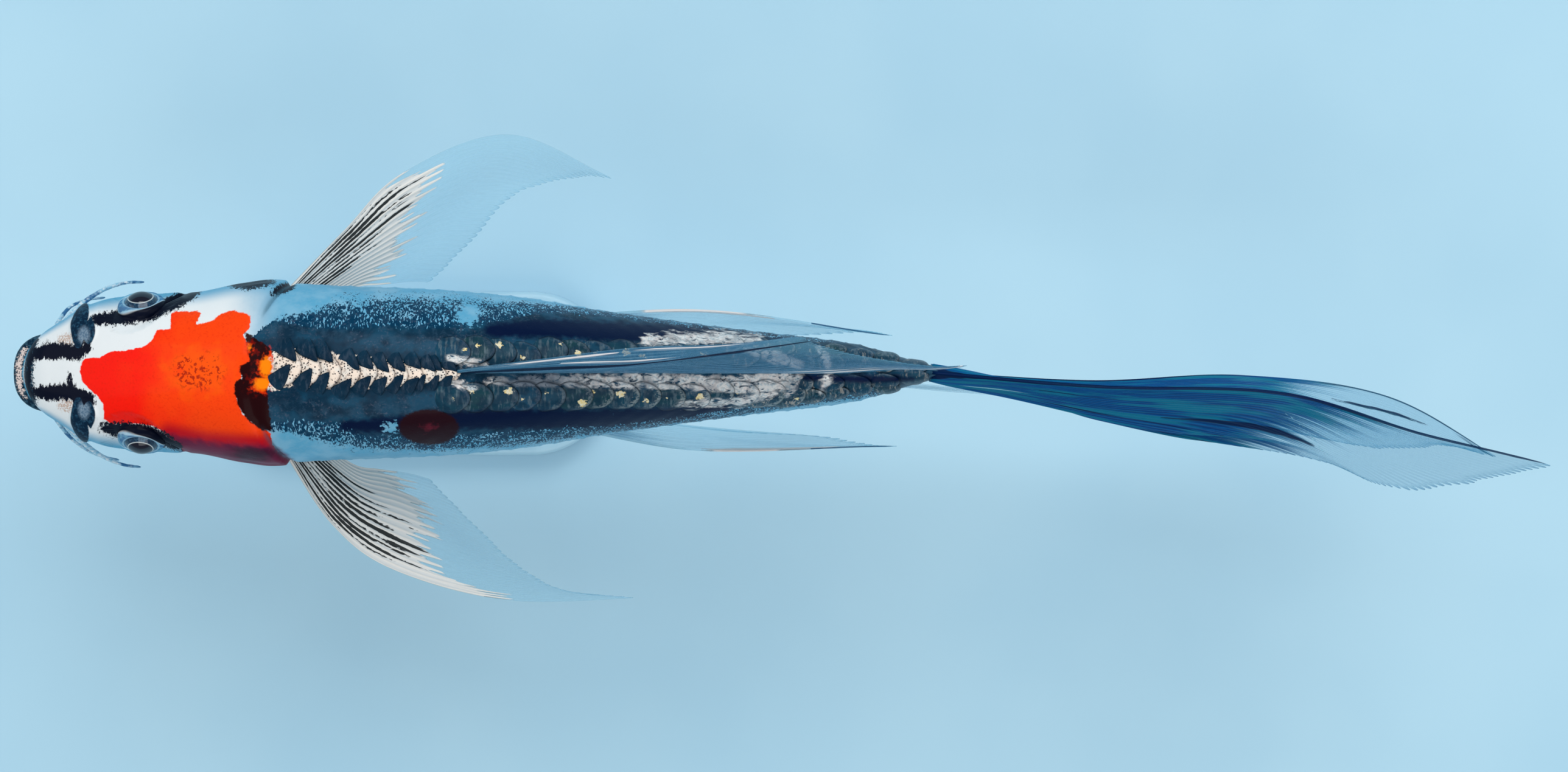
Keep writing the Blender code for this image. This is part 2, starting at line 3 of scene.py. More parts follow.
import bmesh
import bpy
import numpy as np
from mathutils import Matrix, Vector


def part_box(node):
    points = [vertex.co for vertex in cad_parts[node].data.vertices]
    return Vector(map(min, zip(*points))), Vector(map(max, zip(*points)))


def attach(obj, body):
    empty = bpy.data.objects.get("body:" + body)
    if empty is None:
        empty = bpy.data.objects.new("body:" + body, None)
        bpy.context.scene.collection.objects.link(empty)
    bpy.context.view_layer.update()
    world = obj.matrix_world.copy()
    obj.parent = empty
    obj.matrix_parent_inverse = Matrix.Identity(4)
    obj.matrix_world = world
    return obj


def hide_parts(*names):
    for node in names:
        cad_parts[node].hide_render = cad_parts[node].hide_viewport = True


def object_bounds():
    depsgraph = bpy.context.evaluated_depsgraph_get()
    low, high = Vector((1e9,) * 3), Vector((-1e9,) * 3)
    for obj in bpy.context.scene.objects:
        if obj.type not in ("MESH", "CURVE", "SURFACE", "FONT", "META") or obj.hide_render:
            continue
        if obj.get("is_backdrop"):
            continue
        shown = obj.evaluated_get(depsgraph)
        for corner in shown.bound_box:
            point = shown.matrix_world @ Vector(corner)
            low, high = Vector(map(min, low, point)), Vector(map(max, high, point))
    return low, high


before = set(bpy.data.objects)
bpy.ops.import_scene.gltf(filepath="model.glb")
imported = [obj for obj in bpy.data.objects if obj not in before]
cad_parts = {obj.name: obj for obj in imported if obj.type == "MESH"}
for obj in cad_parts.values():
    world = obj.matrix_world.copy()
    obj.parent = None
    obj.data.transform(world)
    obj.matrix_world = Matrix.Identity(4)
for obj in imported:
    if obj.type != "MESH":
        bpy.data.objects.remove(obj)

# A life-size, long-finned, mirror-scaled koi carp on a display stand. One skin covers
# head, lips, gill covers, trunk and tail stalk. Large scales lie on it along the back
# and the tail stalk, and fins, eyes, barbels and the stand are pieces of their own.
# Lengths are in millimetres until a mesh is made. "Along" is the distance behind the
# snout, and "across" the distance from the midline, positive on the fish's right side,
# which is +Y. Past the widest line it goes on growing, down the flank to the belly.

CAD_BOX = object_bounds()
MM = 0.001
SEED = 11

BODY_LENGTH = 216.0
NOSE_START = 2.8
SNOUT_ROUNDING = 6.0
HALF_WIDTH = (
    (0, 8.6), (6, 9.2), (11.5, 12.1), (16, 15.0), (23, 17.4), (31, 18.6), (42, 18.8), (54, 20.9),
    (61, 21.5), (76, 20.8), (97, 20.0), (118, 18.2), (139, 14.8), (168, 10.8), (196, 7.3), (210, 3.4),
    (216, 1.8))
BACK_HEIGHT = (
    (0, 3.6), (6, 5.4), (16, 10.8), (31, 17.2), (48, 22.2), (64, 25.8), (85, 28.8), (103, 29.5),
    (130, 27.4), (160, 22.2), (185, 17.2), (204, 14.0), (216, 13.6))
BELLY_DEPTH = (
    (0, 7.6), (6, 10.4), (16, 15.6), (31, 20.2), (48, 23.8), (64, 26.6), (85, 28.8), (108, 29.0),
    (135, 25.8), (160, 21.0), (185, 16.4), (204, 13.8), (216, 13.4))
SECTION_FULLNESS = ((0, 2.3), (31, 2.25), (60, 2.25), (110, 2.15), (216, 2.0))

GILL_EDGE_NAPE = 57.0
GILL_EDGE_SIDE = 64.5
GILL_EDGE_THROAT = 46.0

EYE_RADIUS = 5.8
EYE_ALONG = 31.0
EYE_SIDE = 13.0
EYE_UP = 5.2
EYE_TILT = math.radians(27)

LIP_HALF_WIDTH = 8.5
LIP_FRONT = 1.7
LIP_CORNER = 10.5
LIP_CORNER_DROP = 4.6
LIP_RADIUS = 1.65
LIP_STEPS = 41
UPPER_LIP = (-2.0, 0.0)     # height, and inset from the outline of the mouth
LOWER_LIP = (-5.7, 0.9)

# The pale almond round each eye: half length, half height, and how far its rear end drops.
LID_LENGTH = 7.5
LID_HEIGHT = 4.6
LID_DROP = 0.26

BELOW_SHARE = 0.3           # how fast "across" grows with depth below the widest line
COAT_DEPTH = 0.45           # the skin lies this far inside the body where scales may cover it
COAT_START = (56, 66)       # along, where that depth sets in
SKIN_VOXEL = 0.46
FIELD_LIMIT = 4.0           # markings need no distances beyond this

# The snout's tip on the body's axis, which is where every length along starts.
SNOUT = Vector((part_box("tail_stalk")[1].x / MM - BODY_LENGTH, 0.0,
                (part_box("eye_left")[0].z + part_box("eye_left")[1].z) / 2 / MM - EYE_UP))
# The point that fins and barbels are drawn from.
FISH_MIDDLE = np.array(SNOUT + Vector((96.6, 0.0, 0.0)))


# Smooth curves ------------------------------------------------------------------------

def smooth_values(stations, at):
    """Cubic through the stations that never overshoots between two of them."""
    xs, ys = np.array(stations, dtype=float).T
    steps = np.diff(xs)
    slopes = np.diff(ys) / steps
    tangents = np.concatenate(([slopes[0]], np.zeros(len(xs) - 2), [slopes[-1]]))
    for i in range(1, len(xs) - 1):
        if slopes[i - 1] * slopes[i] > 0:
            tangents[i] = 2 * slopes[i - 1] * slopes[i] / (slopes[i - 1] + slopes[i])
    at = np.clip(np.asarray(at, dtype=float), xs[0], xs[-1])
    i = np.clip(np.searchsorted(xs, at, side="right") - 1, 0, len(xs) - 2)
    t = (at - xs[i]) / steps[i]
    keep = (1 + 2 * t) * (1 - t) ** 2 * ys[i] + t * t * (3 - 2 * t) * ys[i + 1]
    turn = t * (1 - t) ** 2 * tangents[i] - t * t * (1 - t) * tangents[i + 1]
    return keep + turn * steps[i]


def curve_points(points, ts):
    """Points at ts, from 0 to 1, on a Catmull-Rom curve. points is (count, ..., 3)."""
    points = np.asarray(points, dtype=float)
    count = len(points) - 1
    place = np.clip(np.asarray(ts, dtype=float), 0, 1) * count
    i = np.minimum(place.astype(int), count - 1)
    padded = np.concatenate(([2 * points[0] - points[1]], points, [2 * points[-1] - points[-2]]))
    before, a, b, after = padded[i], padded[i + 1], padded[i + 2], padded[i + 3]
    f = (place - i).reshape((-1,) + (1,) * (points.ndim - 1))
    linear = b - before
    bend = 2 * before - 5 * a + 4 * b - after
    twist = 3 * (a - b) + after - before
    return a + 0.5 * (linear * f + bend * f * f + twist * f ** 3)


def smooth_step(low, high, values):
    t = np.clip((np.asarray(values, dtype=float) - low) / (high - low), 0, 1)
    return t * t * (3 - 2 * t)


def hump(values, middle, width):
    """A bell of height 1 round middle."""
    return np.exp(-((np.asarray(values) - middle) / width) ** 2)


def full_turn(count):
    return np.linspace(0, 2 * math.pi, count, endpoint=False)


# The body's surface -------------------------------------------------------------------

def body_sizes(along, down):
    """Half width, height on that side of the axis and superellipse exponent."""
    nose = np.clip((along - NOSE_START) / SNOUT_ROUNDING, 0, 1)
    rounding = np.sqrt(np.maximum(1 - (1 - nose) ** 2, 0))
    height = np.where(down, smooth_values(BELLY_DEPTH, along), smooth_values(BACK_HEIGHT, along))
    return (smooth_values(HALF_WIDTH, along) * rounding, height * rounding,
            smooth_values(SECTION_FULLNESS, along))


def body_points(along, angle, swell):
    """Surface points; angle 0 is the back, 90 degrees is +Y and 180 degrees the belly."""
    along, angle = np.broadcast_arrays(np.asarray(along, float), np.asarray(angle, float))
    sine, cosine = np.sin(angle), np.cos(angle)
    width, height, fullness = body_sizes(along, cosine < 0)
    y = (width + swell) * np.sign(sine) * np.abs(sine) ** (2 / fullness)
    z = (height + swell) * np.sign(cosine) * np.abs(cosine) ** (2 / fullness)
    return np.stack((SNOUT.x + along, SNOUT.y + y, SNOUT.z + z), axis=-1)


def angle_at(along, across):
    """Angle of the surface point on the back that lies this far across."""
    width, _, fullness = body_sizes(np.asarray(along, float), False)
    share = np.clip(np.abs(across) / width, 0, 1)
    return np.sign(across) * np.arcsin(share ** (fullness / 2))


def coat_depth(along):
    return COAT_DEPTH * smooth_step(*COAT_START, along)


def body_coordinates(points):
    """Along, across and angle of points near the surface."""
    along = points[:, 0] - SNOUT.x
    y, z = points[:, 1] - SNOUT.y, points[:, 2] - SNOUT.z
    width, height, fullness = body_sizes(along, z < 0)
    a = np.abs(y / np.maximum(width, 0.5)) ** (fullness / 2)
    b = np.abs(z / np.maximum(height, 0.5)) ** (fullness / 2)
    angle = np.sign(y) * np.arctan2(a, np.sign(z) * b)
    widest = smooth_values(HALF_WIDTH, along) - coat_depth(along)
    below = np.maximum(widest, np.abs(y)) + BELOW_SHARE * np.abs(z)
    return along, np.where(z < 0, np.sign(y) * below, y), angle


def gill_edge(angle):
    """Where the head ends at this angle: the free edge of the gill cover."""
    up, down = (np.maximum(way * np.cos(angle), 0) ** 1.5 for way in (1, -1))
    return (GILL_EDGE_SIDE - (GILL_EDGE_SIDE - GILL_EDGE_NAPE) * up
            - (GILL_EDGE_SIDE - GILL_EDGE_THROAT) * down)


# Meshes -------------------------------------------------------------------------------

def link(name, data):
    """An object of the scene that shows this mesh, lamp or camera."""
    obj = bpy.data.objects.new(name, data)
    bpy.context.scene.collection.objects.link(obj)
    return obj


def make_object(name, verts, faces):
    """A smooth mesh from millimetre points, with its faces turned outwards."""
    mesh = bpy.data.meshes.new(name)
    mesh.from_pydata((np.asarray(verts, dtype=float) * MM).tolist(), [], faces)
    work = bmesh.new()
    work.from_mesh(mesh)
    bmesh.ops.recalc_face_normals(work, faces=work.faces)
    work.to_mesh(mesh)
    work.free()
    mesh.shade_smooth()
    return link(name, mesh)


def grid_faces(rows, columns, closed=False, first=0):
    faces = []
    for i in range(rows - 1):
        a, b = first + i * columns, first + (i + 1) * columns
        for j in range(columns - (0 if closed else 1)):
            k = (j + 1) % columns
            faces.append((a + j, b + j, b + k, a + k))
    return faces


def fan_faces(middle, first, count):
    return [(middle, first + j, first + (j + 1) % count) for j in range(count)]


def flipped(faces):
    return [face[::-1] for face in faces]


def tube_data(rings, first=0):
    """Points and faces of a closed tube through rings of equal count."""
    rings = [np.asarray(r, dtype=float) for r in rings]
    around = len(rings[0])
    verts = np.concatenate(rings + [rings[0].mean(0)[None], rings[-1].mean(0)[None]])
    faces = grid_faces(len(rings), around, closed=True, first=first)
    faces += fan_faces(first + len(verts) - 2, first, around)
    last = first + (len(rings) - 1) * around
    return verts, faces + flipped(fan_faces(first + len(verts) - 1, last, around))


def sweep_rings(path, radii, sides):
    """Round rings across a path."""
    path = np.asarray(path, dtype=float)
    turns = full_turn(sides)
    rings = []
    for j, centre in enumerate(path):
        ahead = path[min(j + 1, len(path) - 1)] - path[max(j - 1, 0)]
        ahead /= np.linalg.norm(ahead)
        side = np.cross(ahead, (0, 0, 1))
        side /= np.linalg.norm(side)
        up = np.cross(side, ahead)
        rings.append(centre + radii[j] * (np.outer(np.cos(turns), side) + np.outer(np.sin(turns), up)))
    return rings


def read_array(collection, name, size, kind=np.float32):
    """One property of every item of a mesh collection."""
    flat = np.empty(len(collection) * size, dtype=kind)
    collection.foreach_get(name, flat)
    return flat


def vertex_points(mesh):
    return read_array(mesh.vertices, "co", 3).reshape(-1, 3).astype(float) / MM


def set_vertex_points(mesh, points):
    mesh.vertices.foreach_set("co", (points * MM).astype(np.float32).ravel())
    mesh.update()


def set_field(mesh, name, values):
    """A number on every vertex, for the materials to read."""
    attribute = mesh.attributes.get(name) or mesh.attributes.new(name, "FLOAT", "POINT")
    attribute.data.foreach_set("value", np.asarray(values, dtype=np.float32))


def corner_vertices(mesh):
    return read_array(mesh.loops, "vertex_index", 1, np.int32)


def set_bake_map(mesh, corner_uv):
    layer = mesh.uv_layers.new(name="OFBake")
    layer.uv.foreach_set("vector", np.asarray(corner_uv, dtype=np.float32).ravel())


# Markings -----------------------------------------------------------------------------
# Each marking is a field: how far inside it a point lies, in millimetres, negative
# outside. The materials turn a field into a ragged or a clean edge with noise.

# Outlines, as (along, across) corners.
OUTLINES = {
    "red": (
        (17.0, 0.1), (17.4, 2.6), (19.0, 3.5), (21.9, 3.5), (24.9, 5.0), (27.8, 5.0), (32.2, 5.9),
        (34.3, 7.4), (35.3, 9.8), (38.6, 10.1), (38.4, 13.7), (39.7, 14.2), (44.6, 14.2), (45.6, 13.7),
        (44.5, 11.2), (48.5, 11.9), (50.5, 13.7), (52.7, 14.4), (56.3, 13.7), (57.3, 13.0), (57.4, 10.2),
        (55.8, 8.8), (57.6, 5.3), (58.1, 2.5), (55.7, 1.0), (55.4, -1.7), (54.5, -2.1), (54.5, -6.0),
        (55.5, -9.4), (57.8, -11.6), (60.0, -12.7), (62.0, -14.0), (61.9, -16.6), (63.1, -18.4),
        (60.5, -22.0), (54.0, -22.6), (46.0, -21.0), (40.5, -18.6), (38.5, -16.2), (37.0, -14.2),
        (34.8, -12.5), (30.4, -11.8), (23.8, -12.0), (22.7, -10.8), (22.6, -7.4), (21.2, -5.3),
        (19.3, -3.8), (17.8, -2.4)),
    "plum": (
        (38.0, -14.4), (46.5, -16.2), (52.8, -16.6), (60.4, -16.8), (63.6, -18.0), (66.0, -20.4),
        (65.2, -24.2), (60.0, -26.5), (50.0, -26.0), (42.0, -22.0)),
    "soot": (
        (56.0, 9.4), (60.2, 7.0), (62.8, 5.0), (61.4, 2.4), (62.0, 0.5), (61.6, -4.5), (61.6, -7.3),
        (62.4, -13.6), (59.6, -13.2), (56.6, -10.6), (54.4, -7.4), (53.8, -4.0), (54.2, -2.0),
        (55.8, -1.2), (55.0, 0.2), (55.2, 1.6), (57.4, 2.6), (56.8, 5.6))}
RIDGE_LINE = ((62.6, 0.5, 4.6), (68.0, 1.3, 4.2), (78.6, 0.3, 3.9), (91.2, -0.4, 3.0), (104.5, -0.4, 1.4))
# Brush strokes, each through (along, across, radius) points.
STROKES = {
    "ink": (
        ((6.0, 4.4, 1.3), (9.2, 5.2, 1.8), (13.7, 5.0, 1.8), (16.4, 4.4, 1.4), (18.6, 6.0, 1.2)),
        ((6.0, -4.5, 1.2), (9.2, -4.6, 1.7), (14.5, -4.5, 1.7), (18.8, -6.2, 1.7)),
        ((14.4, -0.9, 0.5), (14.8, -3.6, 1.0)),
        ((16.4, 5.4, 1.2), (17.6, 7.8, 0.9)),
        # painted shade: a black arc laid into the crease behind the upper lip
        ((5.8, 8.6, 0.3), (4.4, 4.2, 0.6), (4.0, -1.0, 0.7), (4.9, -7.6, 0.4)),
        ((20.7, 12.3, 1.2), (26.7, 12.9, 1.7), (33.9, 14.2, 1.9), (39.4, 16.8, 1.9), (43.0, 18.6, 1.2)),
        ((22.6, -13.0, 1.3), (27.4, -13.5, 2.0), (32.5, -14.4, 2.2), (36.8, -15.8, 1.8),
         (39.6, -17.2, 0.9)),
        ((49.8, 20.9, 0.2), (52.6, 21.0, 1.2), (56.4, 21.0, 1.7), (61.6, 21.0, 0.4)),
        ((62.6, 18.8, 0.8), (65.2, 20.1, 1.3))),
    "deep": (
        ((113.1, 9.7, 1.6), (125.8, 10.2, 2.2), (145.4, 9.4, 2.2), (160.2, 9.8, 1.4), (178.0, 8.8, 1.2)),
        # painted shadow: the strip that the dorsal fin's rear rays cast on the stalk, left of the middle
        ((184.9, -1.2, 0.8), (198.0, -1.5, 1.0), (210.0, -1.6, 0.7)),
        ((79.6, -12.5, 1.4), (93.4, -11.9, 2.0), (109.2, -10.8, 2.2), (125.8, -10.7, 2.3),
         (139.5, -10.6, 2.2), (153.8, -9.9, 2.0), (166.1, -8.4, 1.3))),
    "cream": (
        ((112.0, -2.2, 0.2), (118.0, -2.2, 1.0), (128.9, -2.0, 1.3), (142.6, -2.2, 1.6),
         (156.4, -2.3, 1.7), (170.1, -2.8, 2.0), (181.0, -2.0, 2.2)),
        ((103.5, 3.4, 0.6), (106.5, 2.8, 1.1), (112.0, 1.9, 0.7)),
        ((103.0, -2.0, 0.4), (106.0, -3.1, 1.0), (109.5, -3.6, 0.5)),
        ((148.0, 7.2, 1.0), (155.3, 7.7, 1.3), (165.1, 8.2, 1.4), (174.1, 7.5, 1.0)),
        ((171.6, 5.1, 0.7), (178.0, 3.5, 1.6), (184.0, 1.7, 1.0)),
        ((180.8, -5.4, 0.5), (182.6, -3.2, 1.0), (183.2, -0.6, 0.8)),
        ((188.6, -4.6, 0.4), (190.2, -2.4, 0.9), (190.6, -0.4, 0.7)),
        ((188.0, 5.8, 0.5), (189.8, 3.6, 1.1), (190.2, 1.2, 0.8)),
        ((156.3, -7.2, 0.6), (170.1, -6.6, 1.0), (178.0, -5.0, 0.9))),
    "pale": (
        ((62.1, 14.3, 2.2), (67.4, 16.3, 3.2), (74.1, 17.6, 2.0)),
        ((63.9, -15.8, 2.0), (68.2, -17.4, 3.0), (74.0, -18.3, 1.8))),
    "ridge": (RIDGE_LINE,)}
# Oval spots: (along, across) of the middle, then the half length and half width.
SPOTS = {
    "pale": (((107.6, 13.4), (2.6, 2.7)), ((89.7, -12.6), (1.4, 1.2))),
    "oval": (((98.5, -12.6), (6.9, 4.1)),),
    "glow": (((61.2, 1.4), (1.7, 3.0)), ((60.4, -2.6), (2.4, 1.7)), ((57.4, 5.8), (0.8, 1.0))),
    "bruise": (((57.0, -18.9), (6.5, 1.9)),),
    "ember": (((45.4, 0.4), (7.6, 5.6)),),
    "tan": (((14.0, 7.6), (2.6, 1.5)), ((14.0, -7.6), (2.6, 1.5)))}

# How far across the dark back is solid, and how far its net of lines reaches.
DARK_SOLID_RIGHT = (
    (51.8, 7.8), (57.8, 9.4), (63.7, 11.6), (69.7, 10.4), (78.7, 9.6), (89.6, 10.2), (98.4, 9.7),
    (115.0, 11.6), (125.6, 13.8), (139.4, 12.9), (153.2, 11.1), (168.1, 9.5), (182.0, 7.5), (216.0, 6.0))
DARK_NET_RIGHT = (
    (51.8, 9.3), (57.8, 10.8), (63.6, 13.4), (69.5, 15.2), (78.3, 16.6), (89.0, 17.6), (97.9, 17.6),
    (114.6, 16.8), (125.4, 16.2), (139.2, 14.5), (153.0, 12.9), (168.0, 10.8), (182.0, 9.0),
    (216.0, 7.0))
DARK_SOLID_LEFT = (
    (51.9, 4.0), (60.7, 11.5), (69.7, 10.7), (78.6, 11.5), (84.0, 14.4), (98.1, 14.7), (111.0, 13.7),
    (125.7, 12.7), (139.4, 12.1), (153.2, 10.5), (168.1, 8.2), (182.0, 5.8), (195.9, 3.8), (216.0, 2.2))
DARK_NET_LEFT = (
    (51.9, 6.0), (60.7, 12.7), (69.5, 15.0), (78.2, 17.0), (88.9, 18.1), (97.8, 18.1), (110.6, 17.7),
    (125.4, 16.3), (139.2, 14.3), (153.1, 12.6), (168.0, 10.6), (182.0, 8.2), (195.9, 6.4), (216.0, 4.4))
# Share of the way across the net, and how much of it there is dark.
NET_COVER = ((-0.25, 1.40), (-0.02, 1.10), (0.12, 0.80), (0.80, 0.66), (1.04, 0.18), (1.6, -0.5))
# Along, where the dark starts on each side of the nape, and where the whole stalk turns dark.
DARK_START_RIGHT = 57.6
DARK_START_LEFT = 60.0
DARK_START_RIDGE = 62.5
DARK_STALK = (201, 214)


def to_segment(along, across, start, end):
    """Distance to a straight line, and the share of it that the nearest point lies along."""
    (x0, y0), (x1, y1) = start, end
    dx, dy = x1 - x0, y1 - y0
    t = np.clip(((along - x0) * dx + (across - y0) * dy) / (dx * dx + dy * dy), 0, 1)
    return np.hypot(along - x0 - t * dx, across - y0 - t * dy), t


def outline_field(along, across, outline):
    """Signed distance to a closed outline, positive inside."""
    nearest = np.full(len(along), np.inf)
    inside = np.zeros(len(along), dtype=bool)
    for (x0, y0), (x1, y1) in zip(outline, outline[1:] + outline[:1]):
        nearest = np.minimum(nearest, to_segment(along, across, (x0, y0), (x1, y1))[0])
        if y1 != y0:
            crossing = (y0 > across) != (y1 > across)
            inside ^= crossing & (along < x0 + (x1 - x0) * (across - y0) / (y1 - y0))
    return np.where(inside, nearest, -nearest)


def stroke_field(along, across, strokes):
    """How far inside a set of brush strokes, each a list of (along, across, radius)."""
    best = np.full(len(along), -np.inf)
    for stroke in strokes:
        for (*start, r0), (*end, r1) in zip(stroke, stroke[1:]):
            apart, t = to_segment(along, across, start, end)
            best = np.maximum(best, r0 + (r1 - r0) * t - apart)
    return best


def spot_field(along, across, centre, radii):
    far = np.hypot((along - centre[0]) / radii[0], (across - centre[1]) / radii[1])
    return (1 - far) * min(radii)


def dark_field(along, across):
    """Above 1 where the dark back is solid, falling to 0 where its net of lines ends."""
    right, apart = across > 0, np.abs(across)
    solid = np.where(right, smooth_values(DARK_SOLID_RIGHT, along), smooth_values(DARK_SOLID_LEFT, along))
    net = np.where(right, smooth_values(DARK_NET_RIGHT, along), smooth_values(DARK_NET_LEFT, along))
    dark = np.interp((apart - solid) / (net - solid), *np.transpose(NET_COVER))
    start = np.where(right, DARK_START_RIGHT + 1.1 * np.abs(apart - 8.0), DARK_START_LEFT)
    start = np.where(apart < 4, DARK_START_RIDGE, start)
    begun = smooth_step(start - 1.6, start + 1.6, along)
    return dark * begun - 0.8 * (1 - begun) + 1.3 * smooth_step(*DARK_STALK, along)


def set_limited(mesh, name, values):
    set_field(mesh, name, np.clip(values, -FIELD_LIMIT, FIELD_LIMIT))


def mark(mesh):
    """Write every marking onto a mesh that lies on the body."""
    along, across, _ = body_coordinates(vertex_points(mesh))
    fields = {name: outline_field(along, across, outline) for name, outline in OUTLINES.items()}
    for name, strokes in STROKES.items():
        fields[name] = stroke_field(along, across, strokes)
    for name, spots in SPOTS.items():
        for spot in spots:
            fields[name] = np.maximum(fields.get(name, -FIELD_LIMIT), spot_field(along, across, *spot))
    for name, values in fields.items():
        set_limited(mesh, name, values)
    set_field(mesh, "along", along)
    set_field(mesh, "dark", dark_field(along, across))
    set_field(mesh, "flank", np.abs(across) / np.maximum(smooth_values(HALF_WIDTH, along), 1.0))


# Materials ----------------------------------------------------------------------------

SLATE = (0.007, 0.056, 0.108)
SLATE_LOW = (0.002, 0.023, 0.050)
NET_NAVY = (0.000, 0.034, 0.082)
DEEP_NAVY = (0.000, 0.006, 0.034)
MAUVE_GREY = (0.105, 0.125, 0.180)
PALE_BLUE = (0.105, 0.370, 0.560)
MISTY_BLUE = (0.270, 0.510, 0.660)
LID_RIM_HIGHLIGHT = (0.42, 0.64, 0.76)
PEARL = (0.560, 0.690, 0.750)
HEAD_WHITE = (0.760, 0.800, 0.810)
WARM_WHITE = (0.880, 0.740, 0.620)
CREAM = (0.760, 0.760, 0.740)
SCARLET = (0.940, 0.010, 0.003)
ORANGE = (0.955, 0.062, 0.004)
CRIMSON = (0.480, 0.001, 0.010)
GLOW = (0.950, 0.230, 0.002)
DARK_RED = (0.300, 0.004, 0.002)
PLUM = (0.130, 0.002, 0.034)
MAROON = (0.016, 0.002, 0.012)
SOOT = (0.016, 0.001, 0.002)
INK = (0.002, 0.004, 0.014)
TAN = (0.520, 0.380, 0.310)
GLINT_GOLD = (0.900, 0.700, 0.280)
OLIVE = (0.008, 0.042, 0.052)


class Signal:
    """An output of a material's node; + - * between signals and numbers add Math nodes."""

    def __init__(self, look, socket):
        self.look = look
        self.socket = socket

    def __add__(self, other):
        return self.look.math("ADD", self, other)

    def __sub__(self, other):
        return self.look.math("SUBTRACT", self, other)

    def __rsub__(self, other):
        return self.look.math("SUBTRACT", other, self)

    def __mul__(self, other):
        return self.look.math("MULTIPLY", self, other)


class Look:
    """One material, with short calls that add and link its nodes."""

    def __init__(self, name):
        self.material = bpy.data.materials.new(name)
        self.material.use_nodes = True
        self.tree = self.material.node_tree
        self.shader = self.tree.nodes["Principled BSDF"]
        self.place = self.node("TexCoord", "Object", {})

    def plug(self, source, socket):
        """Link a signal to a socket, or set a plain value on it."""
        if isinstance(source, Signal):
            self.tree.links.new(source.socket, socket)
        elif socket.type == "RGBA":
            socket.default_value = (*source, 1.0)
        else:
            socket.default_value = source

    def node(self, kind, output, inputs, **settings):
        """Add a node, set it up, plug its inputs and give one of its outputs."""
        node = self.tree.nodes.new("ShaderNode" + kind)
        for name, value in settings.items():
            setattr(node, name, value)
        for name, source in inputs.items():
            self.plug(source, node.inputs[name])
        return Signal(self, node.outputs[output])

    def field(self, name):
        return self.node("Attribute", "Fac", {}, attribute_name=name)

    def math(self, operation, *values):
        return self.node("Math", 0, dict(enumerate(values)), operation=operation)

    def edge(self, value, low, high):
        """0 below low, 1 above high, smooth between."""
        return self.node("MapRange", "Result", {"Value": value, "From Min": low, "From Max": high},
                         interpolation_type="SMOOTHSTEP")

    def mix(self, factor, a, b):
        return self.node("Mix", "Result", {"Factor": factor, "A": a, "B": b}, data_type="RGBA")

    def layers(self, colour, *coats):
        """Lay coats over a colour, each a mask, a tone and, where it is thin, a share."""
        for mask, tone, *share in coats:
            colour = self.mix(mask * share[0] if share else mask, colour, tone)
        return colour

    def stretched(self, stretch, shift, turn=0.0):
        return self.node("Mapping", "Vector", {
            "Vector": self.place, "Scale": stretch, "Rotation": (0.0, 0.0, math.radians(turn)),
            "Location": (shift, shift * 0.7, shift * 1.3)})

    def noise(self, size, detail, rough=0.5, stretch=(1.0, 1.0, 1.0), shift=0.0, twist=0.0, turn=0.0):
        """Soft noise whose lumps are about size millimetres."""
        return self.node("TexNoise", "Fac", {
            "Vector": self.stretched(stretch, shift, turn), "Scale": 1 / (size * MM),
            "Detail": detail, "Roughness": rough, "Distortion": twist})

    def cells(self, size, shift=0.0):
        """Distance from the middle of cells, in cell sizes."""
        return self.node("TexVoronoi", "Distance", {
            "Vector": self.stretched((1.0, 1.0, 1.0), shift), "Scale": 1 / (size * MM)})

    def along_fin(self, rays, length, shift=0.0):
        """Noise on a fin in strands this many to a ray and length millimetres long."""
        place = self.node("CombineXYZ", "Vector", {
            "X": self.field("ray") * rays, "Y": self.field("distance") * (1 / length) + shift})
        return self.node("TexNoise", "Fac", {"Vector": place, "Scale": 1.0, "Detail": 2.5})

    def ragged(self, field, noise, reach, soft):
        """A field's mask with an edge that wanders by up to reach millimetres."""
        return self.edge(field + (noise * (reach * 2) - reach), -soft, soft)

    def bump(self, height, depth, strength, **under):
        return self.node("Bump", "Normal", {
            "Strength": strength, "Distance": depth * MM, "Height": height, **under})

    def finish(self, **inputs):
        """Plug the shader's inputs, named with _ for each space."""
        for name, source in inputs.items():
            self.plug(source, self.shader.inputs[name.replace("_", " ")])
        return self.material


def dark_back(look):
    """Slate on the back, navy out on the net, mottled with mauve grey."""
    edge, field, noise = look.edge, look.field, look.noise
    cloudy = edge(noise(1.6, 4.0, 0.7, shift=2.8), 0.48, 0.62)
    patchy = edge(noise(3.2, 2.0, shift=0.4), 0.44, 0.58)
    return look.layers(
        SLATE_LOW,
        (edge(noise(5.0, 2.0), 0.38, 0.62), SLATE),
        (edge(field("dark"), 1.15, 0.75), NET_NAVY),
        (edge(noise(0.6, 4.0, 0.7), 0.50, 0.72) * patchy, MAUVE_GREY, 0.55),
        (cloudy, (0.030, 0.080, 0.135), 0.35),
        (edge(field("ridge") + cloudy * 1.2 - 0.6, -3.9, -1.4), (0.001, 0.014, 0.034), 0.65),
        # deep navy bands, with the painted shadow strip on the stalk among them
        (look.ragged(field("deep"), noise(1.6, 3.0, shift=0.9), 1.0, 0.9), DEEP_NAVY))


def peppered_white(look):
    """Warm white, clouded with brown grey, with small black specks."""
    edge, noise = look.edge, look.noise
    return look.layers(
        WARM_WHITE,
        (edge(noise(2.2, 3.0, shift=0.2), 0.42, 0.62), (0.80, 0.74, 0.66)),
        (edge(noise(1.0, 3.5, 0.65, shift=0.7), 0.53, 0.66), (0.30, 0.24, 0.21), 0.8),
        (edge(look.cells(0.62, shift=0.3), 0.36, 0.27), (0.010, 0.014, 0.024), 0.95))


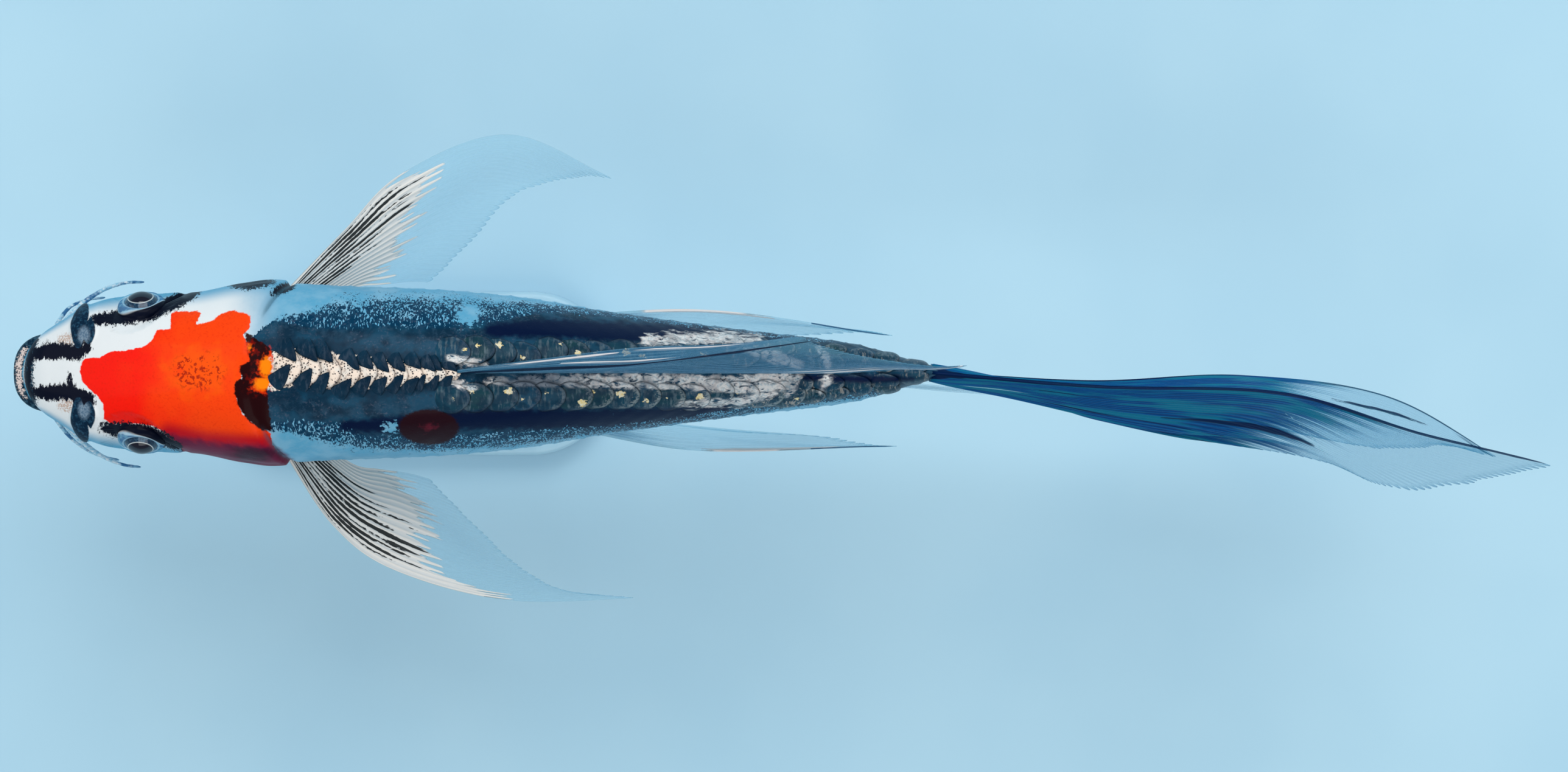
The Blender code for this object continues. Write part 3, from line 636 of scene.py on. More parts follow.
def cream_bands(look, along, fine):
    """Cream on the rear of the back, bluish, rosy and hazy by turns."""
    edge, noise = look.edge, look.noise
    return look.layers(
        CREAM,
        (edge(fine, 0.46, 0.64), (0.48, 0.57, 0.61)),
        (edge(noise(2.0, 2.0, shift=3.7), 0.50, 0.62), (0.74, 0.64, 0.60), 0.4),
        (edge(along, 142.0, 122.0) * edge(along, 112.0, 118.0), (0.20, 0.24, 0.29)))


def scarlet_cap(look, along):
    """The head's red, warmer towards the nape, with dark flecks on its crown."""
    edge, noise = look.edge, look.noise
    ember, plum = look.field("ember"), look.field("plum")
    flecks = edge(ember, 0.0, 2.2) * edge(noise(2.4, 2.0, shift=1.4), 0.42, 0.52)
    return look.layers(
        SCARLET,
        (edge(along + noise(9.0, 2.0) * 26.0, 38.0, 60.0), ORANGE, 0.9),
        (edge(noise(0.6, 3.0, 0.7, shift=3.1), 0.50, 0.70), (0.66, 0.010, 0.001), 0.34),
        (edge(ember + noise(3.5, 3.0, shift=2.6) * 12.0 - 6.0, -2.0, 3.0), (0.95, 0.110, 0.002), 0.6),
        (flecks * edge(noise(0.75, 2.0, 0.6, shift=1.2), 0.52, 0.58), DARK_RED, 0.8),
        (edge(plum, -4.0, -0.8), CRIMSON, 0.95))


def body_colour(look):
    """The markings that skin and scales share, but for the black strokes."""
    edge, field, noise, ragged, mix = look.edge, look.field, look.noise, look.ragged, look.mix
    along, flank, glow, oval = (field(name) for name in ("along", "flank", "glow", "oval"))
    wander = noise(1.1, 3.0, 0.55)
    fine = noise(0.55, 3.0, 0.6, shift=0.5)

    on_head = edge(along, 66.0, 50.0)
    off_head = 1.0 - on_head
    net = noise(0.50, 1.2, 0.5, stretch=(1.25, 0.42, 0.60), shift=0.1, twist=0.6, turn=38.0)
    thick = net * 4.0 - 2.0 + (noise(2.6, 2.0, shift=0.9) * 1.6 - 0.8)
    pale = ragged(field("pale"), noise(1.0, 3.0, 0.6, shift=2.2), 3.2, 0.4)
    curls = noise(1.6, 3.0, 0.6, stretch=(0.55, 1.0, 1.0), shift=2.3, twist=0.7)
    holes = edge(noise(1.0, 2.5, 0.6, stretch=(0.5, 1.0, 1.0), shift=5.1, twist=0.9), 0.70, 0.52)
    worn = edge(noise(2.6, 2.0, shift=6.0), 0.36, 0.56) * 0.35 + 0.58
    blood = edge(oval + noise(1.6, 3.0, 0.6, shift=0.9) * 4.0 - 2.0, 2.6, 4.2) * 0.7
    smoky = noise(2.4, 3.0, shift=0.6) * 2.0 - 1.0
    bruise = edge(field("bruise") + smoky, -0.6, 1.4) * 0.85
    embers = edge(noise(1.2, 3.0, shift=0.15), 0.50, 0.66) * edge(glow, -2.5, 0.0)
    flame = edge(glow + fine * 1.2, 0.3, 1.5)

    return look.layers(
        mix(on_head * edge(flank, 1.0, 0.80), PALE_BLUE, HEAD_WHITE),
        (edge(noise(6.0, 3.0, shift=0.8), 0.40, 0.66) * off_head, MISTY_BLUE, 0.5),
        (edge(flank, 1.02, 1.34), PEARL),
        (edge(noise(1.0, 4.0, 0.6, shift=1.7), 0.46, 0.62) * off_head, (0.24, 0.46, 0.60), 0.22),
        # the dark back, its net of lines, and the cream, the oval and the ridge on it
        (edge(field("dark") + thick * 0.62, 0.46, 0.58) * (1.0 - pale), dark_back(look)),
        (ragged(field("cream"), curls, 2.6, 0.7) * holes * worn, cream_bands(look, along, fine)),
        (ragged(oval, fine, 0.5, 0.3), mix(blood, (0.016, 0.002, 0.006), (0.130, 0.008, 0.022))),
        (ragged(field("ridge"), wander, 1.0, 0.2), peppered_white(look)),
        # the head's red with its plum edge, the sooty nape and the glow in it
        (ragged(field("red"), wander, 0.45, 0.14), scarlet_cap(look, along)),
        (edge(field("plum") + smoky, -1.1, 0.9), mix(bruise, PLUM, MAROON)),
        (ragged(field("soot"), wander, 0.6, 0.2), mix(embers, SOOT, (0.16, 0.003, 0.001))),
        (ragged(glow, noise(1.3, 2.0, shift=2.9), 2.2, 0.6), mix(flame, (0.75, 0.035, 0.001), GLOW)),
        (ragged(field("tan"), fine, 1.2, 0.5) * edge(noise(0.4, 3.0, 0.7, shift=4.0), 0.40, 0.56), TAN))


def orbit_colour(look, colour):
    """A pale blue almond round each eye, with thin pale lines on its rim and round the eye's opening that are
    painted highlights.
    """
    edge, noise = look.edge, look.noise
    off = look.field("eye_off")
    almond = look.field("almond") + (noise(2.6, 2.0) * 0.7 - 0.35)
    tone = look.mix(edge(noise(1.2, 3.0, 0.6, stretch=(0.5, 1.0, 1.0)), 0.42, 0.62),
                    (0.010, 0.120, 0.290), (0.100, 0.320, 0.480))
    return look.layers(
        colour,
        (edge(almond, -0.15, 0.15), tone, 0.92),
        # painted highlights: thin pale lines on the almond's rim and round the eye's opening
        (edge(almond, -0.06, 0.06) * edge(almond, 0.36, 0.18), LID_RIM_HIGHLIGHT, 0.75),
        (edge(off, 3.9, 4.1) * edge(off, 4.45, 4.25), LID_RIM_HIGHLIGHT, 0.50))


def skin_look():
    look = Look("koi_skin")
    edge, field, noise, ragged, mix = look.edge, look.field, look.noise, look.ragged, look.mix
    fine = noise(0.45, 4.0, 0.7, shift=0.5)

    lip = mix(edge(noise(0.8, 3.0, 0.6), 0.42, 0.62), (0.002, 0.018, 0.040), (0.030, 0.085, 0.130))
    speckled = mix(edge(look.cells(0.5), 0.38, 0.26) * 0.9, (0.68, 0.58, 0.54), (0.030, 0.040, 0.060))
    streaked = mix(ragged(field("lip_streak"), noise(0.6, 3.0, 0.7), 1.9, 0.2), lip, speckled)
    colour = look.layers(
        body_colour(look),
        (ragged(field("muzzle"), noise(0.5, 4.0, 0.7, shift=1.5), 2.4, 0.2), lip),
        (edge(field("lip"), -0.35, 0.10), streaked))

    comb = noise(0.55, 4.0, 0.75, stretch=(1.0, 0.35, 0.45), shift=0.35)
    ink = ragged(field("ink") + 0.15, comb, 2.3, 0.18) * edge(field("almond"), 0.10, -0.25)
    flap = mix(edge(noise(0.9, 4.0, 0.65, shift=0.5), 0.46, 0.66),
               (0.002, 0.016, 0.040), (0.016, 0.066, 0.120))
    disc = mix(edge(fine, 0.4, 0.6), (0.080, 0.150, 0.230), (0.200, 0.280, 0.360))
    colour = look.layers(
        orbit_colour(look, colour),
        (ink, INK),
        (edge(field("nostril"), -0.15, 0.10), mix(edge(field("nostril_disc"), -0.3, 0.8), flap, disc)),
        # painted shade: the gill groove and the cheek crease darkened by their depth
        (edge(field("fold_shade"), 0.2, 0.95), (0.020, 0.085, 0.130), 0.5))

    grain = look.bump(fine * 0.6 + noise(1.8, 3.0), 0.10, 0.5)
    pores = edge(look.cells(1.4, shift=2.0), 0.16, 0.05)
    return look.finish(
        Base_Color=colour, Roughness=noise(4.0, 3.0, shift=1.0) * 0.20 + 0.28,
        Normal=look.bump(1.0 - pores, 0.10, 0.35, Normal=grain),
        Specular_IOR_Level=0.04, Coat_Weight=0.06, Coat_Roughness=0.12)


def scale_look():
    """Scales wear the skin's markings, with rings, spokes, glints and a worn rim."""
    look = Look("koi_scale")
    edge, field, noise, mix = look.edge, look.field, look.noise, look.mix
    plate, reached, lobe, pale_rim = (field(name) for name in ("plate", "reached", "lobe", "pale_rim"))
    streaks = noise(0.9, 3.5, 0.65, stretch=(1.0, 0.30, 0.30), shift=0.6)
    bars = noise(0.8, 3.5, 0.65, stretch=(1.0, 0.22, 0.22), shift=4.6)
    rim_noise = noise(0.7, 3.5, 0.65, shift=0.2)
    rim = edge(plate + (rim_noise * 1.1 - 0.55), 0.72, 0.98) * edge(reached, 0.25, 0.7)

    back = dark_back(look)
    lobed = look.layers(
        SLATE_LOW,
        (edge(noise(2.2, 3.0, 0.6, shift=1.3), 0.42, 0.60), back),
        (edge(streaks, 0.50, 0.66), (0.060, 0.090, 0.130), 0.5))
    lobed = mix(edge(reached, 0.25, 0.65), back, lobed)
    lobed = mix(edge(reached, 0.5, 0.95) * 0.6, lobed, (0.001, 0.012, 0.030))

    glassy = look.layers(
        mix(field("tone"), SLATE, OLIVE),
        (edge(bars, 0.48, 0.62), (0.110, 0.160, 0.190), 0.75),
        (edge(noise(2.6, 2.0, shift=3.3), 0.40, 0.60), SLATE_LOW, 0.7),
        (rim * (pale_rim * 0.4 + 0.25), mix(pale_rim, MAUVE_GREY, (0.46, 0.52, 0.50))),
        # painted glints: a gold and pale spot on each back scale, standing for reflected light
        (look.ragged(field("glint"), noise(0.8, 3.0, 0.65, shift=1.9), 1.5, 0.12),
         mix(edge(rim_noise, 0.42, 0.58), GLINT_GOLD, (0.90, 0.84, 0.62)), 0.95),
        (lobe, lobed),
        (field("banded") * edge(streaks, 0.57, 0.64), (0.44, 0.41, 0.36), 0.8))
    in_dark = edge(field("dark"), 0.30, 0.60)
    for name, none, full in (("cream", 0.3, -0.4), ("deep", 0.6, -0.6), ("oval", 0.1, -0.2)):
        in_dark = in_dark * edge(field(name), none, full)
    snow = mix(edge(plate, 0.80, 1.02) * 0.45, peppered_white(look), (0.16, 0.13, 0.14))
    colour = look.layers(
        body_colour(look),
        (look.math("MAXIMUM", in_dark * 0.88, lobe), glassy),
        (field("white"), snow))

    rings = look.math("SINE", plate * 70.0)
    return look.finish(
        Base_Color=colour, Roughness=noise(2.5, 3.0, shift=1.0) * 0.18 + 0.30,
        Normal=look.bump(rings * 0.25 + noise(0.6, 3.0, 0.6), 0.07, 0.6),
        Specular_IOR_Level=0.05, Coat_Weight=0.06, Coat_Roughness=0.12)


def fin_look(name, root, tip, snow, ink, root_alpha, tip_alpha, soft=0.4, teeth=6.0, streaks=0.0):
    """Painted near the root and clear towards the tip; root and tip are (ray, web) colours.

    A third root colour tints it in broad strands. Streaks of ink run between the rays.
    """
    look = Look(name)
    edge, field, along_fin = look.edge, look.field, look.along_fin
    crest = field("crest")
    grain = look.noise(0.9, 3.0, 0.65)
    fibre = along_fin(2.4, 9.0)
    split = along_fin(1.0, 14.0, shift=3.0)
    long_split = along_fin(1.7, 60.0, shift=7.0)

    reach = (crest - 0.55) * teeth + field("paint") + (long_split * (teeth * 5) - teeth * 2.5)
    painted = edge(reach, -soft, soft)
    on_ray = edge(crest + (grain * 0.5 - 0.25), 0.30, 0.62)
    near = look.layers(look.mix(on_ray, root[1], root[0]), (edge(fibre, 0.52, 0.66), root[1], 0.5))
    if len(root) > 2:
        near = look.mix(edge(along_fin(0.35, 24.0, shift=5.0), 0.46, 0.60) * 0.75, near, root[2])
    if streaks > 0:
        ended = field("streaked") + (long_split * 40.0 - 20.0)
        inked = 0.62 - crest + (split * 3.4 - 1.82) + (along_fin(3.0, 1.2, shift=1.0) * 1.2 - 0.6)
        inked = inked + look.math("MINIMUM", ended - 14.0, 0.0) * 0.035
        near = look.mix(edge(inked, 0.0, 0.16) * edge(ended, -0.6, 0.8) * streaks, near, ink)
    dark = look.ragged(field("shade"), fibre, 0.7, 0.25)
    # light bands: pale streaks, which on the dorsal fin include painted glints along its front rays
    light = look.ragged(field("light"), fibre, 0.8, 0.25)
    colour = look.layers(
        look.mix(painted, look.mix(on_ray * 0.8, tip[1], tip[0]), near),
        (dark, ink, 0.95),
        (light, snow, 0.92))

    clear = on_ray * 0.10 + tip_alpha + edge(field("reach"), 0.975, 0.998) * 0.15
    alpha = look.math("MULTIPLY_ADD", painted, root_alpha - clear, clear)
    segments = look.math("SINE", field("reach") * 260.0)
    return look.finish(
        Base_Color=colour, Alpha=look.math("MAXIMUM", alpha, look.math("MAXIMUM", dark, light) * 0.92),
        Roughness=grain * 0.18 + 0.26, Normal=look.bump(segments * on_ray * 0.15 + grain, 0.06, 0.5),
        Specular_IOR_Level=0.05, Coat_Weight=0.06, Coat_Roughness=0.12)


def eye_look():
    look = Look("koi_eye")
    edge, off = look.edge, look.field("off_axis")
    fibres = look.noise(0.35, 4.0, 0.7)
    patches = look.noise(1.6, 3.0, 0.6, shift=0.4)
    ring = look.mix(edge(fibres, 0.3, 0.7), (0.62, 0.72, 0.76), (0.74, 0.78, 0.74))
    colour = look.layers(
        (0.002, 0.018, 0.050),
        (edge(fibres, 0.42, 0.66), (0.016, 0.070, 0.130)),
        (edge(patches, 0.54, 0.68), (0.080, 0.190, 0.290), 0.5),
        (edge(off, 4.3, 4.7), (0.020, 0.060, 0.100)),
        (edge(off, 3.06, 2.98), ring, 0.75),
        (edge(off, 2.90, 2.80), (0.001, 0.003, 0.014)))
    return look.finish(Base_Color=colour, Roughness=fibres * 0.04 + 0.05,
                       Specular_IOR_Level=0.35, Coat_Weight=0.25, Coat_Roughness=0.03)


def barbel_look():
    look = Look("koi_barbel")
    grain = look.noise(0.7, 3.0, 0.6)
    colour = look.layers(
        (0.24, 0.50, 0.66),
        (look.edge(grain, 0.42, 0.64), (0.60, 0.72, 0.78)),
        (look.edge(look.field("reach"), 0.80, 1.0), (0.080, 0.240, 0.400)),
        (look.edge(look.noise(3.2, 3.0, 0.6, shift=0.4), 0.50, 0.62), (0.030, 0.140, 0.300)))
    return look.finish(Base_Color=colour, Roughness=0.32, Normal=look.bump(grain, 0.06, 0.6),
                       Specular_IOR_Level=0.25, Coat_Weight=0.08, Coat_Roughness=0.1)


def stand_plate_look():
    look = Look("stand_plate")
    fine = look.noise(0.5, 3.0, 0.7, shift=0.3)
    colour = look.layers(
        (0.36, 0.60, 0.74),
        (look.edge(look.noise(14.0, 4.0, 0.6), 0.35, 0.65), (0.40, 0.64, 0.77)),
        (look.edge(fine, 0.66, 0.72), (0.30, 0.52, 0.66), 0.4))
    return look.finish(Base_Color=colour, Roughness=fine * 0.16 + 0.26, Normal=look.bump(fine, 0.02, 0.4),
                       Specular_IOR_Level=0.3)


def stand_steel_look():
    look = Look("stand_steel")
    brushed = look.noise(0.5, 3.0, 0.7, stretch=(1.0, 1.0, 0.05))
    colour = look.mix(look.edge(brushed, 0.35, 0.65), (0.52, 0.53, 0.55), (0.68, 0.69, 0.71))
    return look.finish(Base_Color=colour, Roughness=brushed * 0.2 + 0.2,
                       Normal=look.bump(brushed, 0.02, 0.4), Metallic=1.0)


def floor_look():
    look = Look("floor")
    cloud = look.edge(look.noise(90.0, 3.0, 0.5), 0.3, 0.7)
    return look.finish(Base_Color=look.mix(cloud, (0.40, 0.64, 0.78), (0.44, 0.68, 0.81)), Roughness=0.85,
                       Specular_IOR_Level=0.1)


# The skin -----------------------------------------------------------------------------

LIP_STREAK = ((2.8, 5.6, 0.4), (1.5, 2.2, 0.7), (1.6, -3.0, 0.6), (2.8, -5.8, 0.3))
MUZZLE_EDGE = ((5.4, 7.6, 1.0), (4.1, 3.0, 1.4), (3.9, -2.5, 1.4), (5.0, -7.2, 1.0))
# Along at the inner and outer end, across at the inner end, degrees at the outer end,
# width and thickness.
NOSTRIL_FLAPS = (
    ((16.5, 17.0), 6.2, 97.0, 4.9, 1.25),
    ((19.1, 19.3), 7.0, 48.0, 3.2, 1.0))
LEAF_OUTLINE = ((0.0, 0.34), (0.12, 0.70), (0.36, 1.0), (0.56, 0.78), (0.80, 0.34), (1.0, 0.06))
NOSTRIL_DISC = (17.9, 8.7)  # along and across
NOSTRIL_DISC_RADII = (1.6, 2.3)
LIP_FIELD_RADIUS = LIP_RADIUS + 0.12

LOFT_RINGS = 240
LOFT_SIDES = 160
# Degrees off the eye's axis, and how far the skin lies from the eye's centre there.
ORBIT_STATIONS = (
    (0, 5.0), (37, 5.1), (42, 5.6), (46, 6.15), (52, 6.48), (60, 6.42), (70, 6.15), (80, 6.12), (90, 6.4))
ORBIT_REACH = 10.5

BAKE_TURN = 0.9             # share of the map's height that a turn round the body takes
BAKE_SNOUT = 9.0            # millimetres that the snout's blunt face takes on the map
BAKE_PATCH = 0.003          # size of a scale's patch on the map


def lip_path(height, inset):
    """A U round the front of the snout that drops towards the corners of the mouth."""
    a = math.pi * (np.linspace(0, 1, LIP_STEPS) - 0.5)
    fall = 1 - np.cos(a)
    x = LIP_FRONT + inset + (LIP_CORNER - LIP_FRONT) * fall ** 1.3
    z = height - LIP_CORNER_DROP * fall ** 1.4
    return np.array(SNOUT) + np.stack((x, (LIP_HALF_WIDTH - inset) * np.sin(a), z), axis=1)


def lip_radii():
    return LIP_RADIUS * (0.55 + 0.45 * np.cos(math.pi * (np.linspace(0, 1, LIP_STEPS) - 0.5)))


def leaf_rings(flap, side):
    """A leaf-shaped flap lying on the snout: rings from its inner end to its pointed outer end."""
    (inner_along, outer_along), inner_across, outer_degrees, width, thick = flap
    inner_angle = float(angle_at(inner_along, inner_across))
    turns = full_turn(16)
    rings = []
    for t in np.linspace(0.02, 0.98, 15):
        breadth = float(smooth_values(LEAF_OUTLINE, t))
        along = inner_along + (outer_along - inner_along) * t
        angle = inner_angle + (math.radians(outer_degrees) - inner_angle) * t
        lift = 0.25 + 0.55 * t + max(breadth, 0.3) * thick / 2 * np.sin(turns)
        rings.append(body_points(along + breadth * width / 2 * np.cos(turns), side * angle, lift))
    return rings


def body_loft():
    start = NOSE_START + 0.02
    alongs = start + (BODY_LENGTH - start) * np.linspace(0, 1, LOFT_RINGS) ** 1.25
    angles = full_turn(LOFT_SIDES)
    return [body_points(a, angles, -depth) for a, depth in zip(alongs, coat_depth(alongs))]


def skin_parts():
    """Rings of everything that the remesh joins into one skin."""
    yield body_loft()
    for lip in (UPPER_LIP, LOWER_LIP):
        yield sweep_rings(lip_path(*lip), lip_radii(), 18)
    for side in (1, -1):
        for flap in NOSTRIL_FLAPS:
            yield leaf_rings(flap, side)


def joined_skin():
    verts, faces, count = [], [], 0
    for rings in skin_parts():
        more, more_faces = tube_data(rings, first=count)
        verts.append(more)
        faces += more_faces
        count += len(more)
    rough = make_object("koi_skin_rough", np.concatenate(verts), faces)
    remesh = rough.modifiers.new("one_skin", "REMESH")
    remesh.mode = "VOXEL"
    remesh.voxel_size = SKIN_VOXEL * MM
    soften = rough.modifiers.new("soften", "SMOOTH")
    soften.factor = 0.5
    soften.iterations = 3
    ready = rough.evaluated_get(bpy.context.evaluated_depsgraph_get())
    mesh = bpy.data.meshes.new_from_object(ready)
    mesh.name = "koi_skin"
    bpy.data.objects.remove(rough, do_unlink=True)
    mesh.shade_smooth()
    return mesh


def snap_to_body(points):
    """Take the remesh's unevenness off the trunk, where nothing stands on the skin."""
    along, _, _ = body_coordinates(points)
    y, z = points[:, 1] - SNOUT.y, points[:, 2] - SNOUT.z
    width, height, fullness = body_sizes(along, z < 0)
    width, height = (np.maximum(size - coat_depth(along), 0.3) for size in (width, height))
    out = (np.abs(y / width) ** fullness + np.abs(z / height) ** fullness) ** (1 / fullness)
    weight = smooth_step(23.5, 26.5, along) * (1 - smooth_step(213.0, 215.0, along))
    scale = 1 + weight * (1 / np.maximum(out, 0.2) - 1)
    return np.stack((points[:, 0], SNOUT.y + y * scale, SNOUT.z + z * scale), axis=1)


def path_field(points, path, radii):
    """How far inside a tube of changing radius round a polyline each point lies."""
    best = np.full(len(points), -np.inf)
    for a, b, ra, rb in zip(path, path[1:], radii, radii[1:]):
        way = b - a
        t = np.clip((points - a) @ way / (way @ way), 0, 1)
        apart = np.linalg.norm(points - a - t[:, None] * way, axis=1)
        best = np.maximum(best, ra + (rb - ra) * t - apart)
    return best


def eye_centre(side):
    return np.array(SNOUT) + (EYE_ALONG, side * EYE_SIDE, EYE_UP)


def eye_axis(side):
    axis = np.array((-0.06, side * math.cos(EYE_TILT), math.sin(EYE_TILT)))
    return axis / np.linalg.norm(axis)


def shape_orbits(points):
    """Open the skin round each eyeball and raise a lid round the opening."""
    off_axis = np.full(len(points), 99.0)
    for side in (1, -1):
        from_eye = points - eye_centre(side)
        far = np.maximum(np.linalg.norm(from_eye, axis=1), 1e-6)
        level = np.clip(from_eye @ eye_axis(side) / far, -1, 1)
        turned = np.degrees(np.arccos(level))
        near = (far < ORBIT_REACH) & (turned < 100)
        weight = np.where(near, 1 - smooth_step(68, 92, turned), 0)
        moved = far + (smooth_values(ORBIT_STATIONS, turned) - far) * weight
        points = points + from_eye * (moved / far - 1)[:, None]
        off = moved * np.sqrt(1 - level ** 2)
        off_axis = np.where(near & (level > 0), np.minimum(off_axis, off), off_axis)
    return points, off_axis


def skin_relief(along, angle):
    """How far the skin stands out, and how deep its folds are, from 0 to 1; the fold depth sets the painted
    shade in them.
    """
    up = np.abs(np.degrees(angle))
    # the gill cover's plate and the groove behind it
    behind = along - gill_edge(angle)
    side_band = smooth_step(24, 48, up) * (1 - smooth_step(158, 172, up))
    plate = 0.55 * smooth_step(-9, -0.8, behind) * (1 - smooth_step(-0.5, 0.35, behind))
    out = side_band * (plate - hump(behind, 1.0, 0.85))
    out -= 0.30 * hump(behind, 0.3, 1.6) * (1 - smooth_step(20, 44, up))
    # the cheek, the corner of the mouth and the throat
    front = along - (45.0 - 4.5 * np.sin(np.radians(np.clip(up, 30, 150))) ** 2)
    cheek_band = smooth_step(62, 80, up) * (1 - smooth_step(140, 156, up))
    out -= 0.38 * hump(front, 0, 1.0) * cheek_band
    out += 0.14 * np.sin(np.radians(up) * 22) * hump(behind, -6, 5.5) * cheek_band
    corner = stroke_field(along, up, (((11.5, 118, 0.0), (17.0, 128, 0.0), (22.0, 142, 0.0)),))
    out -= 0.35 * np.exp(-(corner / 2.4) ** 2)
    out -= 0.45 * hump(up, 166, 4.0) * smooth_step(16, 24, along) * (1 - smooth_step(40, 50, along))
    # muscle under the skin, and the line of pores along the flank
    on_trunk = smooth_step(3.0, 9.0, behind) * (1 - smooth_step(200, 212, along))
    muscle = np.sin(2 * math.pi * (along + 9.0 * np.cos(np.radians(up - 90) * 2.2)) / 5.4)
    out += 0.07 * muscle * on_trunk * hump(up, 88, 34)
    pores = np.maximum(np.sin(2 * math.pi * along / 3.4), 0) ** 2
    out += on_trunk * hump(up, 92, 2.6) * (0.20 * pores - 0.05)
    # fold depth, which the skin's colour turns into painted shade
    fold_shade = np.maximum(side_band * hump(behind, 1.0, 0.7), 0.5 * cheek_band * hump(front, 0, 0.7))
    return out, fold_shade


def nostril_field(points):
    inside = np.full(len(points), -9.0)
    for side in (1, -1):
        for leaf in NOSTRIL_FLAPS:
            rings = leaf_rings(leaf, side)
            middle = np.array([ring.mean(0) for ring in rings])
            breadths = [np.ptp(ring[:, 0]) / 2 for ring in rings]
            inside = np.maximum(inside, path_field(points, middle, breadths))
    return inside


def almond_field(along, aside, up):
    """How far inside the pale almond round the eye, from the head's side."""
    over = (up - EYE_UP) * math.cos(EYE_TILT) - (np.abs(aside) - EYE_SIDE) * math.sin(EYE_TILT)
    behind = along - EYE_ALONG
    return 0.7 * (LID_HEIGHT * (1 - (behind / LID_LENGTH) ** 2) - np.abs(over + LID_DROP * behind))


def unrolled(along, angle, radial):
    """Place on the unwrap: u runs from snout to tail and v round the body."""
    reach = np.asarray(along) + np.where(np.asarray(along) < 100, np.minimum(radial, BAKE_SNOUT), BAKE_SNOUT)
    u = 0.02 + 0.96 * reach / (BODY_LENGTH + BAKE_SNOUT + 0.5)
    return u, 0.05 + BAKE_TURN * (np.asarray(angle) / (2 * math.pi) + 0.5)


def skin_bake_map(mesh, along, angle, radial):
    """The skin unrolled, with its seam along the belly."""
    u, v = unrolled(along, angle, radial)
    corners = corner_vertices(mesh)
    starts = read_array(mesh.polygons, "loop_start", 1, np.int32)
    face = np.repeat(np.arange(len(starts)), read_array(mesh.polygons, "loop_total", 1, np.int32))
    highest = np.maximum.reduceat(v[corners], starts)[face]
    v_corner = v[corners] + np.where(highest - v[corners] > 0.5, BAKE_TURN, 0.0)
    set_bake_map(mesh, np.stack((u[corners], v_corner), axis=1))


def make_skin():
    mesh = joined_skin()
    skin = link("koi_skin", mesh)
    points = snap_to_body(vertex_points(mesh))
    set_vertex_points(mesh, points)
    along, across, angle = body_coordinates(points)
    out, fold_shade = skin_relief(along, angle)
    ease = smooth_step(2.0, 16.0, along)
    nostril = nostril_field(points)
    out = out * ease * (1 - smooth_step(-0.6, 0.2, nostril))
    normals = read_array(mesh.vertex_normals, "vector", 3).reshape(-1, 3).astype(float)
    points, off_axis = shape_orbits(points + normals * out[:, None])
    set_vertex_points(mesh, points)

    mark(mesh)
    aside, up = points[:, 1] - SNOUT.y, points[:, 2] - SNOUT.z
    disc_along, disc_across = NOSTRIL_DISC
    disc, lip = np.full(len(points), -9.0), np.full(len(points), -np.inf)
    for side in (1, -1):
        spot = spot_field(along, across, (disc_along, side * disc_across), NOSTRIL_DISC_RADII)
        disc = np.maximum(disc, spot)
    for path in (UPPER_LIP, LOWER_LIP):
        radii = np.full(LIP_STEPS, LIP_FIELD_RADIUS)
        lip = np.maximum(lip, path_field(points, lip_path(*path), radii))
    set_field(mesh, "fold_shade", fold_shade * ease)
    set_field(mesh, "eye_off", off_axis)
    set_limited(mesh, "almond", almond_field(along, aside, up))
    set_field(mesh, "nostril", nostril)
    set_field(mesh, "nostril_disc", disc)
    set_field(mesh, "lip", lip)
    set_field(mesh, "lip_streak", stroke_field(along, aside, (LIP_STREAK,)))
    set_field(mesh, "muzzle", stroke_field(along, across, (MUZZLE_EDGE,)))
    skin_bake_map(mesh, along, angle, np.hypot(aside, up))
    mesh.materials.append(skin_look())
    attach(skin, "root")
    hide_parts("head", "gill_cover_left", "gill_cover_right", "lip_upper", "lip_lower",
                "nostril_flap_left", "nostril_flap_right", "trunk", "tail_stalk")


# The scales ---------------------------------------------------------------------------

SCALE_RINGS = 9
SCALE_SIDES = 32
SCALE_MIDDLE = 0.46         # share of the length from the root to the middle of the rings
RIDGE_SCALES = 11
# Side, along at both ends, how many, across, length, width and how pale the rims get.
BACK_ROWS = ((1, 99.0, 154.0, 11, 5.6, 9.4, 7.0, 0.25), (-1, 99.0, 176.0, 15, -6.5, 9.6, 7.4, 0.85))
# Side, along at both ends, how many, across at both ends, length and width.
STALK_ROWS = (
    (1, 166.0, 206.0, 7, 3.9, 1.9, 9.0, 6.0), (-1, 172.0, 206.0, 6, -3.9, -1.9, 9.0, 5.6),
    (1, 163.0, 200.0, 7, 7.4, 4.2, 8.2, 4.6), (-1, 170.0, 200.0, 6, -7.2, -4.2, 8.2, 4.4))


def lens_faces(start, below):
    """A top from its middle point out to the rim, and an underside that is one ring short."""
    last = start + 1 + (SCALE_RINGS - 1) * SCALE_SIDES
    under = below + 1 + (SCALE_RINGS - 2) * SCALE_SIDES
    faces = fan_faces(start, start + 1, SCALE_SIDES)
    faces += flipped(fan_faces(below, below + 1, SCALE_SIDES))
    faces += grid_faces(SCALE_RINGS, SCALE_SIDES, closed=True, first=start + 1)
    faces += flipped(grid_faces(SCALE_RINGS - 1, SCALE_SIDES, closed=True, first=below + 1))
    for j in range(SCALE_SIDES):
        k = (j + 1) % SCALE_SIDES
        faces.append((under + k, last + k, last + j, under + j))
    return faces


